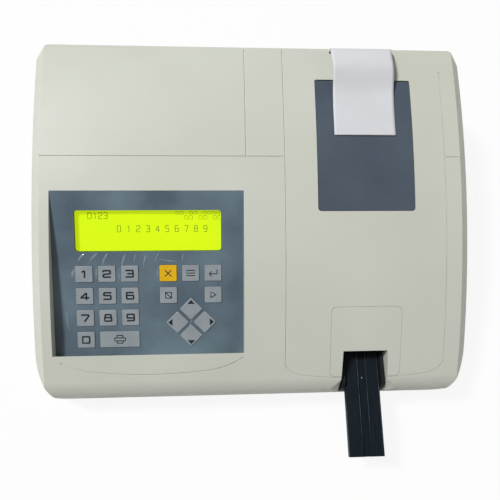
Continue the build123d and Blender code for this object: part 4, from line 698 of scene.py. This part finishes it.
def grown_piece(name, seeds, turns, sizes, make_part, material, body):
    """Grow a part on every seed point and keep the result as one plain mesh."""
    seed_mesh = bpy.data.meshes.new(name + "_seeds")
    seed_mesh.from_pydata(seeds, [], [])
    seed_mesh.attributes.new("turn", "FLOAT", "POINT").data.foreach_set("value", turns)
    seed = bpy.data.objects.new(name + "_seeds", seed_mesh)
    bpy.context.scene.collection.objects.link(seed)
    grow = seed.modifiers.new("grow", "NODES")
    grow.node_group = growth_tree(name, sizes, make_part, material)
    for socket in grow.node_group.interface.items_tree:
        if socket.name in sizes:
            grow[socket.identifier] = sizes[socket.name]
    depsgraph = bpy.context.evaluated_depsgraph_get()
    mesh = bpy.data.meshes.new_from_object(seed.evaluated_get(depsgraph), depsgraph=depsgraph)
    bpy.data.objects.remove(seed)
    new_piece(name, mesh, material, body)


def turned_part(tree, socket, turn):
    """Turn a part inside its tree, before it is set on the points."""
    swing = tree.nodes.new("GeometryNodeTransform")
    swing.inputs["Rotation"].default_value = turn
    tree.links.new(socket, swing.inputs["Geometry"])
    return swing.outputs["Geometry"]


def paper_turns(tree, start):
    """A flat spiral thread that faces sideways."""
    spiral = tree.nodes.new("GeometryNodeCurveSpiral")
    spiral.inputs["Resolution"].default_value = TURN_STEPS
    spiral.inputs["Height"].default_value = 0.0
    thread = tree.nodes.new("GeometryNodeCurvePrimitiveCircle")
    thread.inputs["Resolution"].default_value = THREAD_SIDES
    skin = tree.nodes.new("GeometryNodeCurveToMesh")
    tree.links.new(start.outputs["Turns"], spiral.inputs["Rotations"])
    tree.links.new(start.outputs["Inner Radius"], spiral.inputs["Start Radius"])
    tree.links.new(start.outputs["Outer Radius"], spiral.inputs["End Radius"])
    tree.links.new(start.outputs["Line Radius"], thread.inputs["Radius"])
    tree.links.new(spiral.outputs["Curve"], skin.inputs["Curve"])
    tree.links.new(thread.outputs["Curve"], skin.inputs["Profile Curve"])
    return turned_part(tree, skin.outputs["Mesh"], (0, math.pi / 2, 0))


roll_low, roll_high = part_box("paper_roll")
roll_middle = (roll_low + roll_high) / 2
roll_ends = [(x, roll_middle.y, roll_middle.z) for x in (roll_low.x, roll_high.x)]
# The spiral thread is darker than the paper: painted shade in the gaps between the turns.
paper_turn_shade = moulded_plastic("paper_turn_shade", (0.58, 0.57, 0.60), (0.48, 0.47, 0.50), grain=700.0,
                             roughness=0.7, patches=120.0)
grown_piece("roll_windings", roll_ends, (0.0, math.pi), WINDING, paper_turns, paper_turn_shade, "roll")

# ---------------------------------------------------------------- strip tray
# A blue-black moulding that carries the test strip in a channel between two fine ridges;
# sliding in and out has left faint scratches along it. Its white tile checks the reader.
TRAY_LIGHT = (0.010, 0.017, 0.024)
TRAY_SHADE = (0.004, 0.008, 0.012)
TRAY_SHINE = 0.15

tray_plastic = brushed_metal("tray_plastic", TRAY_LIGHT, TRAY_SHADE, stretch=(30.0, 1.0, 8.0),
                             roughness=0.42, scale=55.0)
tray_surface = tray_plastic.node_tree.nodes["Principled BSDF"]
tray_surface.inputs["Metallic"].default_value = 0.0
tray_surface.inputs["Specular IOR Level"].default_value = TRAY_SHINE
finish_nodes(tray_plastic, "strip_tray")

# A thin dull blue-grey strip along the crests of the two ridges and along the right edge is painted
# highlight where they catch the light, partly real wear from handling; and a small round stop stands
# in the channel where a strip's end comes to rest.
WEAR_AND_SHEEN_WIDTH = 0.34 * MM
WEAR_AND_SHEEN_RISE = 0.04 * MM
WEAR_AND_SHEEN_STEPS = 60
WEAR_AND_SHEEN_UNEVEN = (0.25, 0.6)
WEAR_AND_SHEEN_FLAT_TOP = 0.6
WEAR_AND_SHEEN_FADE = 6
WEAR_AND_SHEEN_FRONT = 0.5 * MM
WEAR_AND_SHEEN_REAR = 4 * MM
SHEEN_EDGE_INSET = 1.0 * MM
WORN_AND_HIGHLIT_LIGHT = (0.075, 0.110, 0.150)
WORN_AND_HIGHLIT_SHADE = (0.030, 0.046, 0.066)
RIDGE_SPREAD = 3.9 * MM
RIDGE_RISE = 0.6 * MM
CHANNEL_DROP = 1.8 * MM
STOP_ALONG = 71.0 * MM
STOP_RADIUS = 0.75 * MM
STOP_RISE = 0.7 * MM
STOP_SIDES = 20
STOP_PROFILE = ((0.0, 1.0), (0.55, 1.0), (0.80, 0.86), (0.95, 0.55), (1.0, 0.18))  # height, radius
tray_low, tray_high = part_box("strip_tray")
tray_middle = (tray_low.x + tray_high.x) / 2
worn_and_highlit_lines = (
    (tray_middle - RIDGE_SPREAD, tray_high.z),
    (tray_middle + RIDGE_SPREAD, tray_high.z),
    (tray_high.x - SHEEN_EDGE_INSET, tray_high.z - RIDGE_RISE),
)


def worn_and_highlit_line(shape, x, z, start, end):
    """Add a thin uneven strip of lighter plastic along the tray: painted highlight, partly real wear."""
    chance = random.Random(round(x * 1e6))
    rows = []
    for n in range(WEAR_AND_SHEEN_STEPS + 1):
        y = start + (end - start) * n / WEAR_AND_SHEEN_STEPS
        fade = min(1.0, WEAR_AND_SHEEN_FADE * n / WEAR_AND_SHEEN_STEPS, WEAR_AND_SHEEN_FADE * (WEAR_AND_SHEEN_STEPS - n) / WEAR_AND_SHEEN_STEPS + 0.1)
        half = WEAR_AND_SHEEN_WIDTH * chance.uniform(*WEAR_AND_SHEEN_UNEVEN) * fade
        flat = half * WEAR_AND_SHEEN_FLAT_TOP
        top = z + WEAR_AND_SHEEN_RISE
        corners = ((x - half, z), (x - flat, top), (x + flat, top), (x + half, z))
        rows.append([shape.verts.new((across, y, up)) for across, up in corners])
    join_rows(shape, rows)


wear_and_sheen_shape = bmesh.new()
for sheen_x, sheen_z in worn_and_highlit_lines:
    worn_and_highlit_line(wear_and_sheen_shape, sheen_x, sheen_z, tray_low.y + WEAR_AND_SHEEN_FRONT, tray_high.y - WEAR_AND_SHEEN_REAR)
# Lighter than the tray: painted highlight along the crests and the edge, partly real wear.
worn_and_highlit_plastic = moulded_plastic("worn_and_highlit_plastic", WORN_AND_HIGHLIT_LIGHT, WORN_AND_HIGHLIT_SHADE, grain=700.0, roughness=0.45,
                               patches=160.0)
new_piece("worn_and_highlit_crests", finished_mesh("worn_and_highlit_crests", wear_and_sheen_shape), worn_and_highlit_plastic, "tray")

stop_shape = bmesh.new()
stop_rings = []
for level, share in STOP_PROFILE:
    radius = STOP_RADIUS * share
    z = tray_high.z - CHANNEL_DROP + STOP_RISE * level
    ring = []
    for n in range(STOP_SIDES):
        angle = 2 * math.pi * n / STOP_SIDES
        y = tray_low.y + STOP_ALONG + radius * math.sin(angle)
        ring.append(stop_shape.verts.new((tray_middle + radius * math.cos(angle), y, z)))
    stop_rings.append(ring)
join_rows(stop_shape, stop_rings, capped=True)
stop_plastic = moulded_plastic("stop_plastic", (0.22, 0.27, 0.31), (0.16, 0.20, 0.24), roughness=0.35)
new_piece("strip_stop", finished_mesh("strip_stop", stop_shape), stop_plastic, "tray")

tile_white = moulded_plastic("tile_white", (0.86, 0.86, 0.84), (0.82, 0.82, 0.80), roughness=0.35)
finish_nodes(tile_white, "white_reference")

# ---------------------------------------------------------------- tray guide, drive and reader
# Near-black structural mouldings carry the tray and the reading head with its small coated
# lens; a square stepper motor drives the tray through a natural white gear.
guide_plastic = moulded_plastic("guide_plastic", (0.010, 0.013, 0.016), (0.006, 0.008, 0.010),
                                roughness=0.55, shine=0.2)
finish_nodes(guide_plastic, "tray_guide", "optical_head")
gear_acetal = moulded_plastic("gear_acetal", (0.78, 0.77, 0.72), (0.72, 0.71, 0.66), roughness=0.35)
finish_nodes(gear_acetal, "drive_pinion")
motor_case = brushed_metal("motor_case", (0.30, 0.30, 0.32), (0.18, 0.18, 0.20), roughness=0.4)
finish_nodes(motor_case, "tray_motor")
lens_glass = moulded_plastic("lens_glass", (0.10, 0.06, 0.16), (0.06, 0.05, 0.12), roughness=0.12, coat=1.0)
finish_nodes(lens_glass, "reading_lens")

# ---------------------------------------------------------------- print mechanism
# A ground rubber platen presses the paper on an aluminium-backed thermal head, in a plated
# frame. The feed motor turns it through a brass pinion and a white gear, and the roll hangs
# on its white spindle in a grey moulded well.
platen_rubber = moulded_plastic("platen_rubber", (0.018, 0.018, 0.019), (0.012, 0.012, 0.013), roughness=0.7)
finish_nodes(platen_rubber, "platen_roller")
head_metal = brushed_metal("head_metal", (0.74, 0.75, 0.76), (0.60, 0.61, 0.62))
finish_nodes(head_metal, "thermal_head")
finish_nodes(zinc_plate, "print_frame")
pinion_brass = brushed_metal("pinion_brass", (0.80, 0.62, 0.28), (0.62, 0.46, 0.18))
finish_nodes(pinion_brass, "feed_pinion")
finish_nodes(motor_case, "feed_motor")
finish_nodes(gear_acetal, "platen_gear", "roll_spindle")
well_plastic = moulded_plastic("well_plastic", (0.16, 0.17, 0.18), (0.13, 0.14, 0.15), roughness=0.5)
finish_nodes(well_plastic, "paper_well")

# ---------------------------------------------------------------- circuit boards
# Green boards carry dark component bodies, and flat grey ribbon cables run between them.
# The mains transformer beside them shows its iron core.
board_mask = moulded_plastic("board_mask", (0.012, 0.115, 0.040), (0.008, 0.080, 0.028), grain=500.0,
                             roughness=0.32, patches=120.0, coat=0.5)
finish_nodes(board_mask, "main_board", "power_board", "lcd_board", "keypad_board")
component_body = moulded_plastic("component_body", (0.020, 0.020, 0.022), (0.012, 0.012, 0.013),
                                 roughness=0.45)
finish_nodes(component_body, "board_components")
cable_jacket = moulded_plastic("cable_jacket", (0.50, 0.50, 0.52), (0.42, 0.42, 0.44), roughness=0.5)
finish_nodes(cable_jacket, "ribbon_cables")
core_iron = brushed_metal("core_iron", (0.20, 0.19, 0.18), (0.10, 0.10, 0.10), stretch=(1.0, 1.0, 60.0),
                          roughness=0.5)
finish_nodes(core_iron, "transformer")

# Tinned legs stand along both sides of every flat chip, bent out to a foot on the board.
LEG_PITCH = 1.27 * MM
LEG_STAND_OFF = 0.13 * MM
CHIP_RISE = (2.5 * MM, 4.5 * MM)
LEG = {
    "Post Size": (0.25 * MM, 0.45 * MM, 1.5 * MM), "Foot Size": (0.9 * MM, 0.45 * MM, 0.22 * MM),
    "Foot Place": (0.42 * MM, 0.0, -0.64 * MM),
}


def loose_boxes(node):
    """The low and high corners of each separate block in a CAD node."""
    shape = bmesh.new()
    shape.from_mesh(cad[node].data)
    bmesh.ops.remove_doubles(shape, verts=shape.verts, dist=0.001 * MM)
    taken = set()
    for first in shape.verts:
        if first in taken:
            continue
        taken.add(first)
        stack, block = [first], []
        while stack:
            vertex = stack.pop()
            block.append(vertex.co.copy())
            near = {edge.other_vert(vertex) for edge in vertex.link_edges} - taken
            taken |= near
            stack.extend(near)
        yield [min(p[i] for p in block) for i in range(3)], [max(p[i] for p in block) for i in range(3)]
    shape.free()


def bent_leg(tree, start):
    """A thin post beside the chip and a foot flat on the board."""
    post = tree.nodes.new("GeometryNodeMeshCube")
    foot = tree.nodes.new("GeometryNodeMeshCube")
    shift = tree.nodes.new("GeometryNodeTransform")
    both = tree.nodes.new("GeometryNodeJoinGeometry")
    tree.links.new(start.outputs["Post Size"], post.inputs["Size"])
    tree.links.new(start.outputs["Foot Size"], foot.inputs["Size"])
    tree.links.new(foot.outputs["Mesh"], shift.inputs["Geometry"])
    tree.links.new(start.outputs["Foot Place"], shift.inputs["Translation"])
    tree.links.new(post.outputs["Mesh"], both.inputs["Geometry"])
    tree.links.new(shift.outputs["Geometry"], both.inputs["Geometry"])
    return both.outputs["Geometry"]


leg_seeds, leg_turns = [], []
for block_low, block_high in loose_boxes("board_components"):
    if not CHIP_RISE[0] < block_high[2] - block_low[2] < CHIP_RISE[1]:
        continue
    count = int((block_high[1] - block_low[1] - LEG_PITCH) / LEG_PITCH)
    for n in range(count):
        y = (block_low[1] + block_high[1]) / 2 + (n - (count - 1) / 2) * LEG_PITCH
        z = block_low[2] + LEG["Post Size"][2] / 2
        leg_seeds += [(block_high[0] + LEG_STAND_OFF, y, z), (block_low[0] - LEG_STAND_OFF, y, z)]
        leg_turns += [0.0, math.pi]
tinned = brushed_metal("tinned_leg", (0.72, 0.73, 0.74), (0.55, 0.56, 0.57), roughness=0.28, scale=200.0)
grown_piece("chip_legs", leg_seeds, leg_turns, LEG, bent_leg, tinned, "housing")

# ---------------------------------------------------------------- rear connectors and feet
# A black mains inlet and rocker switch are pressed into the rear wall beside a plated data
# port; four rubber feet and six plated screws are underneath.
connector_black = moulded_plastic("connector_black", (0.018, 0.018, 0.019), (0.012, 0.012, 0.013),
                                  roughness=0.42)
finish_nodes(connector_black, "inlet_socket", "switch_case")
rocker_gloss = moulded_plastic("rocker_gloss", (0.020, 0.020, 0.022), (0.014, 0.014, 0.016),
                               roughness=0.25, coat=0.6)
finish_nodes(rocker_gloss, "power_rocker")
foot_rubber = moulded_plastic("foot_rubber", (0.030, 0.030, 0.031), (0.020, 0.020, 0.021), roughness=0.75)
finish_nodes(foot_rubber, "rubber_feet")
finish_nodes(zinc_plate, "data_port", "housing_screws")

# Gilt contacts sit in the port's nine holes, five over four, a little below its face.
CONTACT_PITCH = 2.76 * MM
CONTACT_ROWS = ((1.4 * MM, 5), (-1.4 * MM, 4))
CONTACT_SUNK = 2.4 * MM
CONTACT_SIDES = 16
CONTACT = {"Radius": 0.42 * MM, "Length": 3.0 * MM}


def round_contact(tree, start):
    """A round pin that points to the rear."""
    pin = tree.nodes.new("GeometryNodeMeshCylinder")
    pin.inputs["Vertices"].default_value = CONTACT_SIDES
    tree.links.new(start.outputs["Radius"], pin.inputs["Radius"])
    tree.links.new(start.outputs["Length"], pin.inputs["Depth"])
    return turned_part(tree, pin.outputs["Mesh"], (math.pi / 2, 0, 0))


port_low, port_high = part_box("data_port")
port_middle = (port_low + port_high) / 2
contact_seeds = [
    (port_middle.x + (n - (count - 1) / 2) * CONTACT_PITCH, port_high.y - CONTACT_SUNK, port_middle.z + rise)
    for rise, count in CONTACT_ROWS for n in range(count)
]
contact_turns = [0.0] * len(contact_seeds)
gilt = brushed_metal("gilt_contact", (0.85, 0.66, 0.30), (0.70, 0.52, 0.20), roughness=0.25, scale=300.0)
grown_piece("port_contacts", contact_seeds, contact_turns, CONTACT, round_contact, gilt, "housing")
